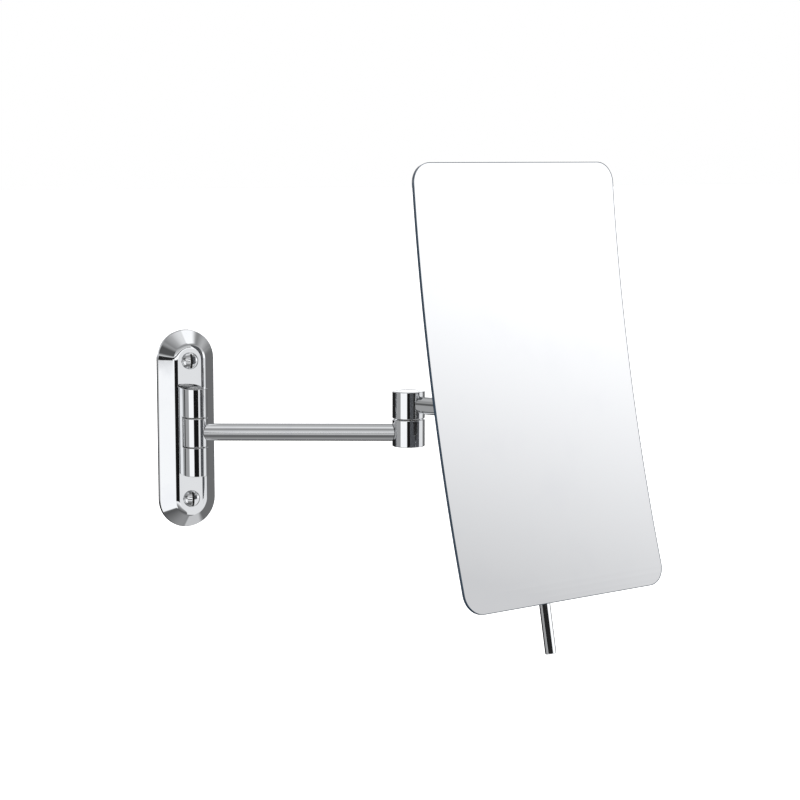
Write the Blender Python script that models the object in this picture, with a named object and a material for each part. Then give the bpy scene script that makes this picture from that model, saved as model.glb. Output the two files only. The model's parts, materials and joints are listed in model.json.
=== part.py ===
"""Extendable shaving mirror on a two-part wall arm.

Frame: metres, +Z up. The origin is the middle of the wall plate's back, the
wall lies at Y = 0, and the room is on the -Y side. Each moving group hangs on
an empty that stands on its joint axis.
"""
import math

import bmesh
import bpy
from mathutils import Matrix

# ---------------------------------------------------------------- clearances
GAP = 0.0003             # running and seating clearance between two pieces
SHADOW_GAP = 0.0005      # visible seam between two stacked barrels
EDGE = 0.00025           # broken edge on turned pieces
SMALL_EDGE = 0.0001      # broken edge on small hidden pieces
CUT_PAST = 0.001         # how far a cutting tool runs past the face it leaves

# ---------------------------------------------------------------- wall plate
PLATE_HEIGHT = 0.115
PLATE_WIDTH = 0.034
PLATE_RISE = 0.009       # wall to the flat front face
PLATE_RIM = 0.0012       # upright lip against the wall
PLATE_WALL = 0.0014
FLAT_WIDTH = 0.017
FLAT_FILLET = 0.0013     # round between flank and flat
BACKING_THICKNESS = 0.0015
BOSS_RADIUS = 0.0045

WALL_SCREW_INSET = 0.0175    # plate's end to the middle of a wall screw
WALL_SCREW_LEVEL = PLATE_HEIGHT / 2 - WALL_SCREW_INSET
WALL_SCREW_HEAD_RADIUS = 0.00485
WALL_SCREW_HEAD_HEIGHT = 0.003
WALL_SCREW_SHANK_RADIUS = 0.0023
WALL_SCREW_REACH = 0.030     # length of shank behind the wall face
WALL_SCREW_POINT = 0.006
SLOT_WIDTH = 0.0013
SLOT_DEPTH = 0.0013

# ---------------------------------------------------------------- wall hinge
KNUCKLE_RADIUS = 0.00695
KNUCKLE_HEIGHT = 0.0164
BRACKET_WEB = 0.00075    # bracket metal behind the arm's knuckle
HINGE_REACH = PLATE_RISE + GAP + BRACKET_WEB + GAP + KNUCKLE_RADIUS   # wall to hinge axis
HINGE_PIN_RADIUS = 0.003
HINGE_PIN_HEAD_RADIUS = 0.0043
HINGE_PIN_HEAD_HEIGHT = 0.002
HINGE_PIN_RECESS_FLOOR = 0.0024
BUSH_WALL = 0.001
HINGE_WASHER_WALL = 0.0014
HINGE_WASHER_RECESS = 0.0007
BRACKET_SCREW_RADIUS = 0.0019
BRACKET_SCREW_DEPTH = 0.0038   # screw thread inside the bracket
BRACKET_SCREW_HEAD_RADIUS = 0.0038
BRACKET_SCREW_HEAD_SIDE = 0.0018   # upright side of the pan head
BRACKET_SCREW_HEAD_TOP = 0.0026    # whole height of the pan head
BRACKET_SCREW_HEAD_CROWN = 0.0027  # radius where the head's flat crown starts

# ---------------------------------------------------------------- arms
ARM_RADIUS = 0.005
ARM_TUBE_WALL = 0.001
INNER_ARM_LENGTH = 0.12165   # hinge axis to elbow axis
OUTER_ARM_LENGTH = 0.0564    # elbow axis to swivel axis
INNER_ARM_ANGLE = math.radians(-26.7)
OUTER_ARM_ANGLE = math.radians(-60.6)
ARM_STOP_ANGLE = math.radians(-17.7)   # inner arm's angle nearest to the wall
SWING_CLEARANCE = 0.00023    # left there between the tube's end and the bracket's base
TUBE_END_ANGLE = math.asin(ARM_RADIUS / (KNUCKLE_RADIUS + GAP)) + ARM_STOP_ANGLE
BASE_BEHIND_AXIS = (KNUCKLE_RADIUS + GAP) * math.sin(TUBE_END_ANGLE) + SWING_CLEARANCE
SPIGOT_LENGTH = 0.008        # plug of a barrel inside its arm tube
SPIGOT_ROOT = 0.0004         # metal between a barrel's bore and the plug's root

# ---------------------------------------------------------------- stacked barrel joints
BARREL_RADIUS = 0.0093
BARREL_HEIGHT = 0.0156
BARREL_PITCH = BARREL_HEIGHT + SHADOW_GAP
BOLT_RADIUS = 0.0031
BOLT_HEAD_RADIUS = 0.0052
BOLT_HEAD_HEIGHT = 0.0033
SOCKET_RADIUS = 0.0024       # six-sided key socket, across its corners
SOCKET_DEPTH = 0.0018
BARREL_WALL = 0.0023
COUNTERBORE_RADIUS = BARREL_RADIUS - BARREL_WALL
CAP_HEIGHT = 0.0014
FRICTION_RECESS = 0.0006     # recess for the friction washer in each barrel
FRICTION_WASHER_RADIUS = 0.0062
SPRING_WASHER_HEIGHT = 0.0008
SPRING_WASHER_RADIUS = 0.006
NUT_RADIUS = 0.0058
NUT_HEIGHT = 0.0029

# ---------------------------------------------------------------- mirror head
HEAD_ANGLE = math.radians(10.55)   # the mirror's turn to the right of straight out
TILT_ANGLE = math.radians(11.7)    # the mirror leans back by this much
GLASS_WIDTH = 0.139
GLASS_HEIGHT = 0.236
GLASS_CORNER = 0.011
GLASS_THICKNESS = 0.0018
BEND_RADIUS = 1.13       # the glass is bent top to bottom, hollow to the user
BACKING_COAT = 0.0004
HOLDER_WIDTH = 0.050
HOLDER_HEIGHT = 0.100
HOLDER_CORNER = 0.008
HOLDER_THICKNESS = 0.002
PAD_INSET = 0.002        # pad's edge inside the holder plate's edge
PAD_THICKNESS = 0.0008
COAT_DEPTH = GLASS_THICKNESS + GAP                # front of the glass to each layer behind
PAD_DEPTH = COAT_DEPTH + BACKING_COAT + GAP
HOLDER_DEPTH = PAD_DEPTH + PAD_THICKNESS + GAP
YOKE_DEPTH = HOLDER_DEPTH + HOLDER_THICKNESS + GAP

TONGUE_WIDTH = 0.0104
TONGUE_RADIUS = 0.006
TILT_WASHER_THICKNESS = 0.0008
TILT_WASHER_RADIUS = 0.0055
CHEEK_THICKNESS = 0.003
CHEEK_RADIUS = 0.0065
YOKE_BASE_THICKNESS = 0.003
YOKE_REACH = 0.0118      # back of the yoke's base to the tilt axis
YOKE_BASE_HEIGHT = 0.020
YOKE_SCREW_SPACING = 0.012
TILT_PIN_RADIUS = 0.0025
TILT_PIN_HEAD_RADIUS = 0.0046
TILT_PIN_HEAD_HEIGHT = 0.0028
KNOB_RADIUS = 0.0075
KNOB_FLUTE = 0.0007
KNOB_FLUTES = 12
KNOB_LENGTH = 0.008
PIN_END = 0.0015         # end of the pin beyond the knob

TILT_CLEARANCE = 0.0002      # between the cheeks' round ends and the barrel
TILT_REACH = BARREL_RADIUS + TILT_CLEARANCE + CHEEK_RADIUS     # swivel axis to tilt axis
GLASS_REACH = YOKE_DEPTH + YOKE_BASE_THICKNESS + YOKE_REACH    # tilt axis to the glass

ROD_RADIUS = 0.0031
ROD_STANDOFF = 0.0099        # back of the holder plate to the rod's axis
ROD_DEPTH = HOLDER_DEPTH + HOLDER_THICKNESS + ROD_STANDOFF
ROD_BELOW_GLASS = 0.029
ROD_END = GLASS_HEIGHT / 2 + ROD_BELOW_GLASS   # tilt axis level to the rod's lower end
ROD_BOSS_TOP = 0.033         # tilt axis level to the top of the boss
ROD_RECESS = 0.0002          # rod's upper end below the top of its boss
ROD_BOSS_HEIGHT = 0.014
ROD_BOSS_WIDTH = 0.011
ROD_BOSS_BACK = 0.0028       # boss material behind the rod's bore
HOLDER_SCREW_RADIUS = 0.0017
HOLDER_SCREW_HEAD_RADIUS = 0.0034
HOLDER_SCREW_HEAD_HEIGHT = 0.0012
GRUB_RADIUS = 0.0018
GRUB_RECESS = 0.0002
GRUB_SOCKET_RADIUS = 0.001
GRUB_SOCKET_DEPTH = 0.0012

# ---------------------------------------------------------------- fineness of round shapes
FINE = 32
CAP = 24
MEDIUM = 18
SMALL = 10
CORNER_STEPS = 6
BEND_STRIPS = 14


# ---------------------------------------------------------------- scene helpers
def clear_scene():
    for thing in list(bpy.data.objects):
        bpy.data.objects.remove(thing, do_unlink=True)


def material(name, colour, roughness, metallic):
    finish = bpy.data.materials.new(name)
    finish.use_nodes = True
    shader = finish.node_tree.nodes["Principled BSDF"]
    shader.inputs["Base Color"].default_value = (*colour, 1.0)
    shader.inputs["Roughness"].default_value = roughness
    shader.inputs["Metallic"].default_value = metallic
    return finish


def axis_empty(name, parent, location, turn_z=0.0, turn_x=0.0):
    axis = bpy.data.objects.new(name, None)
    bpy.context.collection.objects.link(axis)
    axis.empty_display_size = 0.02
    axis.parent = parent
    axis.location = location
    axis.rotation_euler = (turn_x, 0.0, turn_z)
    return axis


def finish_object(name, bm, finish, parent):
    """Make one named object from a bmesh, with its faces pointing out."""
    bmesh.ops.remove_doubles(bm, verts=bm.verts[:], dist=1e-7)
    bmesh.ops.recalc_face_normals(bm, faces=bm.faces[:])
    mesh = bpy.data.meshes.new(name)
    bm.to_mesh(mesh)
    bm.free()
    mesh.shade_smooth()
    mesh.set_sharp_from_angle(angle=math.radians(32))
    mesh.materials.append(finish)
    thing = bpy.data.objects.new(name, mesh)
    bpy.context.collection.objects.link(thing)
    thing.parent = parent
    return thing


def combine(target, tool, operation):
    """Cut the tool from the target, or join it on, with a live Boolean."""
    tool.hide_render = True
    tool.display_type = "WIRE"
    change = target.modifiers.new(tool.name, "BOOLEAN")
    change.object = tool
    change.operation = operation
    change.solver = "EXACT"


# ---------------------------------------------------------------- shape helpers
TO_AXIS = {
    "Z": Matrix.Identity(4),
    "X": Matrix.Rotation(math.radians(90), 4, "Y"),
    "Y": Matrix.Rotation(math.radians(-90), 4, "X"),
}


def turned(profile, axis="Z", centre=(0.0, 0.0, 0.0), segments=FINE):
    """Spin a profile of (radius, distance along the axis) points once round.

    A profile that leaves the axis at both ends is closed into a ring.
    """
    bm = bmesh.new()
    verts = [bm.verts.new((radius, 0.0, along)) for radius, along in profile]
    edges = [bm.edges.new(pair) for pair in zip(verts, verts[1:])]
    if profile[0][0] > 0.0:
        edges.append(bm.edges.new((verts[-1], verts[0])))
    bmesh.ops.spin(bm, geom=verts + edges, cent=(0, 0, 0), axis=(0, 0, 1),
                   angle=math.tau, steps=segments, use_merge=True)
    bmesh.ops.remove_doubles(bm, verts=bm.verts[:], dist=1e-7)
    bm.transform(Matrix.Translation(centre) @ TO_AXIS[axis])
    return bm


def solid_round(radius, low, high, edge=EDGE):
    return [(0.0, low), (radius - edge, low), (radius, low + edge),
            (radius, high - edge), (radius - edge, high), (0.0, high)]


def plain_ring(outer, inner, low, high):
    return [(inner, low), (outer, low), (outer, high), (inner, high)]


def arc(centre, radius, start, stop, steps):
    """Points of an arc in a flat outline, angles in degrees."""
    angles = [math.radians(start + (stop - start) * i / steps) for i in range(steps + 1)]
    return [(centre[0] + radius * math.cos(a), centre[1] + radius * math.sin(a))
            for a in angles]


def rounded_rectangle(width, height, corner, steps=CORNER_STEPS, middle=(0.0, 0.0)):
    half_width = width / 2 - corner
    half_height = height / 2 - corner
    points = []
    for index, (side, level) in enumerate(((1, 1), (-1, 1), (-1, -1), (1, -1))):
        centre = (middle[0] + side * half_width, middle[1] + level * half_height)
        points += arc(centre, corner, 90 * index, 90 * index + 90, steps)
    return points


def stadium(width, height):
    """Upright outline with half-round ends; the two end arcs share no point."""
    straight = height / 2 - width / 2
    top = arc((0.0, straight), width / 2, 0, 180, 2 * CORNER_STEPS)
    bottom = arc((0.0, -straight), width / 2, 180, 360, 2 * CORNER_STEPS)
    return top + bottom


def lofted(layers):
    """Skin a stack of (outline in X and Z, y) layers and close both ends."""
    bm = bmesh.new()
    loops = [[bm.verts.new((x, y, z)) for x, z in outline] for outline, y in layers]
    for near, far in zip(loops, loops[1:]):
        count = len(near)
        for i in range(count):
            j = (i + 1) % count
            bm.faces.new((near[i], near[j], far[j], far[i]))
    bm.faces.new(loops[0])
    bm.faces.new(loops[-1])
    return bm


def slab(outline, low, high, axis="Y"):
    """Extrude a flat outline between two distances along X, Y or Z."""
    place = {
        "X": lambda a, b, t: (t, a, b),
        "Y": lambda a, b, t: (a, t, b),
        "Z": lambda a, b, t: (a, b, t),
    }[axis]
    bm = bmesh.new()
    face = bm.faces.new([bm.verts.new(place(a, b, low)) for a, b in outline])
    grown = bmesh.ops.extrude_face_region(bm, geom=[face])
    moved = [item for item in grown["geom"] if isinstance(item, bmesh.types.BMVert)]
    bmesh.ops.translate(bm, verts=moved, vec=place(0.0, 0.0, high - low))
    return bm


def rectangle(low_a, high_a, low_b, high_b):
    return [(low_a, low_b), (high_a, low_b), (high_a, high_b), (low_a, high_b)]


def hexagon(radius, middle=(0.0, 0.0)):
    return arc(middle, radius, 0, 300, 5)


def drill(target, radius, axis, centre, low, high, segments=SMALL):
    """Cut a round hole; centre lies on the hole's axis."""
    tool = finish_object(f"cut_{target.name}_{len(target.modifiers)}",
                         turned([(0.0, low), (radius, low), (radius, high), (0.0, high)],
                                axis, centre, segments),
                         target.data.materials[0], target.parent)
    combine(target, tool, "DIFFERENCE")


def cut_shape(target, bm):
    tool = finish_object(f"cut_{target.name}_{len(target.modifiers)}", bm,
                         target.data.materials[0], target.parent)
    combine(target, tool, "DIFFERENCE")


def join_shape(target, bm):
    tool = finish_object(f"add_{target.name}_{len(target.modifiers)}", bm,
                         target.data.materials[0], target.parent)
    combine(target, tool, "UNION")


# ---------------------------------------------------------------- materials
clear_scene()
CHROME = material("polished_chrome", (0.80, 0.81, 0.82), 0.06, 1.0)
STEEL = material("plated_steel", (0.58, 0.58, 0.57), 0.32, 1.0)
NYLON = material("nylon", (0.80, 0.79, 0.74), 0.45, 0.0)
GLASS = material("silvered_glass", (0.90, 0.92, 0.92), 0.02, 1.0)
PAINT = material("mirror_back_paint", (0.20, 0.21, 0.22), 0.5, 0.0)
FOAM = material("adhesive_foam", (0.09, 0.09, 0.09), 0.8, 0.0)

# ---------------------------------------------------------------- joint axes
ARM_SWING = axis_empty("arm_swing_axis", None, (0, -HINGE_REACH, 0), INNER_ARM_ANGLE)
ELBOW = axis_empty("elbow_axis", ARM_SWING, (INNER_ARM_LENGTH, 0, 0),
                   OUTER_ARM_ANGLE - INNER_ARM_ANGLE)
SWIVEL = axis_empty("swivel_axis", ELBOW, (OUTER_ARM_LENGTH, 0, 2 * BARREL_PITCH),
                    HEAD_ANGLE - OUTER_ARM_ANGLE)
TILT = axis_empty("tilt_axis", SWIVEL, (0, -TILT_REACH, 0), 0.0, -TILT_ANGLE)


# ---------------------------------------------------------------- wall plate group
def inset_stadium(inset):
    return stadium(PLATE_WIDTH - 2 * inset, PLATE_HEIGHT - 2 * inset)


def make_wall_plate():
    """Dished pressing: inner skin first, round the rim, then the outer skin."""
    flat_inset = (PLATE_WIDTH - FLAT_WIDTH) / 2
    flank_run = flat_inset - FLAT_FILLET
    flank_rise = PLATE_RISE - PLATE_RIM - 0.8 * FLAT_FILLET
    slope = math.atan2(flank_rise, flank_run)
    side_step = PLATE_WALL / math.sin(slope)
    inner_depth = PLATE_RISE - PLATE_WALL
    inner_flat_inset = side_step + (inner_depth - PLATE_RIM) / math.tan(slope)
    layers = [
        (inset_stadium(inner_flat_inset), -inner_depth),
        (inset_stadium(side_step), -PLATE_RIM),
        (inset_stadium(PLATE_WALL), -0.6 * PLATE_RIM),
        (inset_stadium(PLATE_WALL), 0.0),
        (inset_stadium(EDGE), 0.0),
        (inset_stadium(0.0), -EDGE),
        (inset_stadium(0.0), -PLATE_RIM),
        (inset_stadium(flank_run), -(PLATE_RIM + flank_rise)),
        (inset_stadium(flank_run + 0.55 * FLAT_FILLET), -(PLATE_RISE - 0.22 * FLAT_FILLET)),
        (inset_stadium(flat_inset), -PLATE_RISE),
    ]
    plate = finish_object("wall_plate", lofted(layers), CHROME, None)
    for level in (-WALL_SCREW_LEVEL, WALL_SCREW_LEVEL):
        drill(plate, WALL_SCREW_SHANK_RADIUS + GAP, "Y", (0, 0, level),
              -PLATE_RISE - CUT_PAST, CUT_PAST)
    for level in (knuckle_middle(-1), knuckle_middle(1)):
        drill(plate, BRACKET_SCREW_RADIUS + GAP, "Y", (0, 0, level),
              -PLATE_RISE - CUT_PAST, CUT_PAST)


def make_backing_plate():
    """Flat plate against the wall, with a boss under the flat for each wall screw."""
    inset = PLATE_WALL + BACKING_THICKNESS + GAP
    backing = finish_object("backing_plate",
                            slab(inset_stadium(inset), -BACKING_THICKNESS, 0.0), STEEL, None)
    boss_top = -(PLATE_RISE - PLATE_WALL - GAP)
    for level in (-WALL_SCREW_LEVEL, WALL_SCREW_LEVEL):
        boss = solid_round(BOSS_RADIUS, boss_top, -BACKING_THICKNESS / 2, SMALL_EDGE)
        join_shape(backing, turned(boss, "Y", (0, 0, level), MEDIUM))
        drill(backing, WALL_SCREW_SHANK_RADIUS + GAP, "Y", (0, 0, level),
              boss_top - CUT_PAST, CUT_PAST)


def make_wall_screws():
    """Slotted round-head screws; the shank ends in a point behind the wall face."""
    head_low = -(PLATE_RISE + GAP)
    radius = WALL_SCREW_HEAD_RADIUS
    top = head_low - WALL_SCREW_HEAD_HEIGHT
    for name, level in (("upper_wall_screw", WALL_SCREW_LEVEL),
                        ("lower_wall_screw", -WALL_SCREW_LEVEL)):
        dome = [(radius * math.sin(math.radians(a)),
                 top + WALL_SCREW_HEAD_HEIGHT * (1 - math.cos(math.radians(a))) * 0.92)
                for a in (0, 18, 36, 54, 72, 90)]
        profile = dome + [
            (radius, head_low),
            (WALL_SCREW_SHANK_RADIUS, head_low),
            (WALL_SCREW_SHANK_RADIUS, WALL_SCREW_REACH - WALL_SCREW_POINT),
            (0.0, WALL_SCREW_REACH),
        ]
        screw = finish_object(name, turned(profile, "Y", (0, 0, level), MEDIUM), CHROME, None)
        slot = rectangle(-SLOT_WIDTH / 2, SLOT_WIDTH / 2, level - 2 * radius, level + 2 * radius)
        cut_shape(screw, slab(slot, top - CUT_PAST, top + SLOT_DEPTH))


def knuckle_middle(level):
    """Height of the middle of a knuckle: -1 lower, 0 the arm's own, 1 upper."""
    return level * (KNUCKLE_HEIGHT + SHADOW_GAP)


def make_hinge_bracket():
    """Base strip with a solid block behind each of its two barrels."""
    back = -(PLATE_RISE + GAP)
    front = BASE_BEHIND_AXIS - HINGE_REACH
    half_height = knuckle_middle(1) + KNUCKLE_HEIGHT / 2
    side = KNUCKLE_RADIUS
    outline = [(-side, back), (-side, -HINGE_REACH)]
    outline += arc((0.0, -HINGE_REACH), side, 180, 360, FINE // 2)[1:]
    outline += [(side, back)]
    bracket = finish_object("hinge_bracket", slab(outline, -half_height, half_height, "Z"),
                            CHROME, None)
    opening = KNUCKLE_HEIGHT / 2 + SHADOW_GAP
    hollow = side + GAP
    start = math.degrees(math.asin((front + HINGE_REACH) / hollow))
    outline = [(2 * side, front)]
    outline += arc((0.0, -HINGE_REACH), hollow, start, 180 - start, FINE // 2)
    outline += [(-2 * side, front), (-2 * side, -HINGE_REACH - 2 * side),
                (2 * side, -HINGE_REACH - 2 * side)]
    cut_shape(bracket, slab(outline, -opening, opening, "Z"))
    bore = HINGE_PIN_RADIUS + GAP
    head_bore = HINGE_PIN_HEAD_RADIUS + GAP
    head_floor = half_height - HINGE_PIN_RECESS_FLOOR
    washer_bore = hinge_washer_radius() + GAP
    washer_floor = opening + HINGE_WASHER_RECESS
    past = half_height + CUT_PAST
    upper_steps = [(washer_bore, washer_floor), (bore, washer_floor), (bore, head_floor),
                   (head_bore, head_floor), (head_bore, past), (0.0, past)]
    lower_steps = [(radius, -along) for radius, along in reversed(upper_steps)]
    cut_shape(bracket, turned(lower_steps + upper_steps, "Z", (0, -HINGE_REACH, 0), MEDIUM))
    for level in (knuckle_middle(-1), knuckle_middle(1)):
        drill(bracket, BRACKET_SCREW_RADIUS + GAP, "Y", (0, 0, level),
              back - BRACKET_SCREW_DEPTH - GAP, back + CUT_PAST)


def hinge_washer_radius():
    return HINGE_PIN_RADIUS + GAP + HINGE_WASHER_WALL


def make_hinge_pin():
    """Headed pin from above and a round slotted nut below, both flush."""
    half_height = knuckle_middle(1) + KNUCKLE_HEIGHT / 2
    axis = (0, -HINGE_REACH, 0)
    seat = half_height - HINGE_PIN_RECESS_FLOOR + GAP
    profile = [(0, -half_height), (HINGE_PIN_RADIUS, -half_height), (HINGE_PIN_RADIUS, seat),
               (HINGE_PIN_HEAD_RADIUS, seat),
               (HINGE_PIN_HEAD_RADIUS, seat + HINGE_PIN_HEAD_HEIGHT - EDGE),
               (HINGE_PIN_HEAD_RADIUS - EDGE, seat + HINGE_PIN_HEAD_HEIGHT),
               (0, seat + HINGE_PIN_HEAD_HEIGHT)]
    pin = finish_object("hinge_pin", turned(profile, "Z", axis, MEDIUM), STEEL, None)
    slot = rectangle(-2 * HINGE_PIN_HEAD_RADIUS, 2 * HINGE_PIN_HEAD_RADIUS,
                     -HINGE_REACH - SLOT_WIDTH / 2, -HINGE_REACH + SLOT_WIDTH / 2)
    top = seat + HINGE_PIN_HEAD_HEIGHT
    cut_shape(pin, slab(slot, top - 0.7 * SLOT_DEPTH, top + CUT_PAST, "Z"))
    finish_object("hinge_nut",
                  turned(plain_ring(HINGE_PIN_HEAD_RADIUS, HINGE_PIN_RADIUS + GAP,
                                    -seat - HINGE_PIN_HEAD_HEIGHT, -seat),
                         "Z", axis, MEDIUM), STEEL, None)
    for name, level in (("upper_hinge_washer", 1), ("lower_hinge_washer", -1)):
        middle = level * (KNUCKLE_HEIGHT + SHADOW_GAP) / 2
        half = SHADOW_GAP / 2 + HINGE_WASHER_RECESS - GAP
        finish_object(name, turned(plain_ring(hinge_washer_radius(), HINGE_PIN_RADIUS + GAP,
                                              middle - half, middle + half),
                                   "Z", axis, MEDIUM), NYLON, None)


def make_bracket_screws():
    """Pan-head screws from inside the dish that draw the bracket to the plate."""
    seat = -(PLATE_RISE - PLATE_WALL) + GAP
    tip = -(PLATE_RISE + GAP) - BRACKET_SCREW_DEPTH
    for name, level in (("upper_bracket_screw", 1), ("lower_bracket_screw", -1)):
        profile = [(0, tip), (BRACKET_SCREW_RADIUS, tip), (BRACKET_SCREW_RADIUS, seat),
                   (BRACKET_SCREW_HEAD_RADIUS, seat),
                   (BRACKET_SCREW_HEAD_RADIUS, seat + BRACKET_SCREW_HEAD_SIDE),
                   (BRACKET_SCREW_HEAD_CROWN, seat + BRACKET_SCREW_HEAD_TOP),
                   (0, seat + BRACKET_SCREW_HEAD_TOP)]
        finish_object(name, turned(profile, "Y", (0, 0, knuckle_middle(level)), SMALL),
                      STEEL, None)


# ---------------------------------------------------------------- barrel joints
def make_lower_barrel(prefix, parent, middle, spigot_side):
    """Barrel that carries the bolt: head and cap below, friction washer above."""
    low = middle - BARREL_HEIGHT / 2
    high = middle + BARREL_HEIGHT / 2
    seat = low + CAP_HEIGHT + GAP + BOLT_HEAD_HEIGHT + GAP
    washer_recess = FRICTION_WASHER_RADIUS + GAP
    profile = [(BOLT_RADIUS + GAP, seat), (COUNTERBORE_RADIUS, seat),
               (COUNTERBORE_RADIUS, low), (BARREL_RADIUS - EDGE, low),
               (BARREL_RADIUS, low + EDGE), (BARREL_RADIUS, high - EDGE),
               (BARREL_RADIUS - EDGE, high), (washer_recess, high),
               (washer_recess, high - FRICTION_RECESS),
               (BOLT_RADIUS + GAP, high - FRICTION_RECESS)]
    barrel = finish_object(f"{prefix}_lower_barrel", turned(profile), CHROME, parent)
    add_spigot(barrel, spigot_side, middle)
    finish_object(f"{prefix}_bottom_cap",
                  turned(solid_round(COUNTERBORE_RADIUS - GAP, low, low + CAP_HEIGHT), segments=CAP),
                  CHROME, parent)
    return seat


def make_upper_barrel(prefix, parent, middle):
    """Barrel that turns on the bolt: nut, spring washer and cap above."""
    low = middle - BARREL_HEIGHT / 2
    high = middle + BARREL_HEIGHT / 2
    seat = high - (CAP_HEIGHT + GAP + NUT_HEIGHT + GAP + SPRING_WASHER_HEIGHT + GAP)
    washer_recess = FRICTION_WASHER_RADIUS + GAP
    profile = [(BOLT_RADIUS + GAP, low + FRICTION_RECESS),
               (washer_recess, low + FRICTION_RECESS), (washer_recess, low),
               (BARREL_RADIUS - EDGE, low), (BARREL_RADIUS, low + EDGE),
               (BARREL_RADIUS, high - EDGE), (BARREL_RADIUS - EDGE, high),
               (COUNTERBORE_RADIUS, high), (COUNTERBORE_RADIUS, seat),
               (BOLT_RADIUS + GAP, seat)]
    barrel = finish_object(f"{prefix}_upper_barrel", turned(profile), CHROME, parent)
    finish_object(f"{prefix}_top_cap",
                  turned(solid_round(COUNTERBORE_RADIUS - GAP, high - CAP_HEIGHT, high), segments=CAP),
                  CHROME, parent)
    return barrel, seat


def make_joint_hardware(prefix, parent, lower_middle, head_seat, nut_seat):
    """Bolt, friction washer, spring washer and nut; they stay with the lower barrel."""
    head_low = head_seat - GAP - BOLT_HEAD_HEIGHT
    nut_low = nut_seat + GAP + SPRING_WASHER_HEIGHT + GAP
    nut_high = nut_low + NUT_HEIGHT
    profile = [(0, head_low), (BOLT_HEAD_RADIUS - EDGE, head_low),
               (BOLT_HEAD_RADIUS, head_low + EDGE),
               (BOLT_HEAD_RADIUS, head_seat - GAP), (BOLT_RADIUS, head_seat - GAP),
               (BOLT_RADIUS, nut_high - EDGE), (BOLT_RADIUS - EDGE, nut_high),
               (0, nut_high)]
    bolt = finish_object(f"{prefix}_bolt", turned(profile, segments=MEDIUM), STEEL, parent)
    cut_shape(bolt, slab(hexagon(SOCKET_RADIUS), head_low - CUT_PAST,
                         head_low + SOCKET_DEPTH, "Z"))
    washer_low = lower_middle + BARREL_HEIGHT / 2 - FRICTION_RECESS + GAP
    washer_high = washer_low + SHADOW_GAP + 2 * FRICTION_RECESS - 2 * GAP
    finish_object(f"{prefix}_friction_washer",
                  turned(plain_ring(FRICTION_WASHER_RADIUS, BOLT_RADIUS + GAP,
                                    washer_low, washer_high), segments=MEDIUM),
                  NYLON, parent)
    finish_object(f"{prefix}_spring_washer",
                  turned(plain_ring(SPRING_WASHER_RADIUS, BOLT_RADIUS + GAP,
                                    nut_seat + GAP, nut_seat + GAP + SPRING_WASHER_HEIGHT),
                         segments=MEDIUM), STEEL, parent)
    nut = finish_object(f"{prefix}_nut",
                        slab(hexagon(NUT_RADIUS), nut_low, nut_high, "Z"), STEEL, parent)
    drill(nut, BOLT_RADIUS + GAP, "Z", (0, 0, 0), nut_low - CUT_PAST, nut_high + CUT_PAST,
          MEDIUM)


def add_spigot(barrel, side, middle, bore=COUNTERBORE_RADIUS, radius=BARREL_RADIUS):
    """Plug on the barrel's side, outside its bore, that fills the end of an arm tube."""
    near = side * (bore + SPIGOT_ROOT)
    far = side * (radius + SPIGOT_LENGTH)
    plug = ARM_RADIUS - ARM_TUBE_WALL - GAP
    join_shape(barrel, turned(solid_round(plug, min(near, far), max(near, far)),
                              "X", (0, 0, middle), MEDIUM))


def make_arm_tube(name, parent, middle, near_radius, length, far_radius):
    """Tube with both ends shaped round the barrels that it meets."""
    profile = plain_ring(ARM_RADIUS, ARM_RADIUS - ARM_TUBE_WALL,
                         near_radius * 0.5, length - far_radius * 0.5)
    tube = finish_object(name, turned(profile, "X", (0, 0, middle), FINE), CHROME, parent)
    for centre, radius in ((0.0, near_radius), (length, far_radius)):
        drill(tube, radius + GAP, "Z", (centre, 0, middle), -2 * ARM_RADIUS,
              2 * ARM_RADIUS, FINE)


# ---------------------------------------------------------------- inner arm group
def make_inner_arm():
    half = KNUCKLE_HEIGHT / 2
    bush_outer = HINGE_PIN_RADIUS + GAP + BUSH_WALL
    recess = hinge_washer_radius() + GAP
    profile = [(bush_outer + GAP, -half + HINGE_WASHER_RECESS),
               (recess, -half + HINGE_WASHER_RECESS), (recess, -half),
               (KNUCKLE_RADIUS - EDGE, -half), (KNUCKLE_RADIUS, -half + EDGE),
               (KNUCKLE_RADIUS, half - EDGE), (KNUCKLE_RADIUS - EDGE, half),
               (recess, half), (recess, half - HINGE_WASHER_RECESS),
               (bush_outer + GAP, half - HINGE_WASHER_RECESS)]
    knuckle = finish_object("inner_arm_knuckle", turned(profile), CHROME, ARM_SWING)
    add_spigot(knuckle, 1, 0.0, recess, KNUCKLE_RADIUS)
    finish_object("hinge_bush",
                  turned(plain_ring(bush_outer, HINGE_PIN_RADIUS + GAP,
                                    -half + HINGE_WASHER_RECESS + GAP,
                                    half - HINGE_WASHER_RECESS - GAP),
                         segments=MEDIUM), NYLON, ARM_SWING)
    make_arm_tube("inner_arm_tube", ARM_SWING, 0.0, KNUCKLE_RADIUS, INNER_ARM_LENGTH,
                  BARREL_RADIUS)
    elbow_end = axis_empty("elbow_on_inner_arm", ARM_SWING, (INNER_ARM_LENGTH, 0, 0))
    return elbow_end, make_lower_barrel("elbow", elbow_end, 0.0, -1)


# ---------------------------------------------------------------- outer arm group
def make_outer_arm():
    barrel, nut_seat = make_upper_barrel("elbow", ELBOW, BARREL_PITCH)
    add_spigot(barrel, 1, BARREL_PITCH)
    make_arm_tube("outer_arm_tube", ELBOW, BARREL_PITCH, BARREL_RADIUS, OUTER_ARM_LENGTH,
                  BARREL_RADIUS)
    swivel_end = axis_empty("swivel_on_outer_arm", ELBOW, (OUTER_ARM_LENGTH, 0, 0))
    head_seat = make_lower_barrel("swivel", swivel_end, BARREL_PITCH, -1)
    return nut_seat, swivel_end, head_seat


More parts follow.
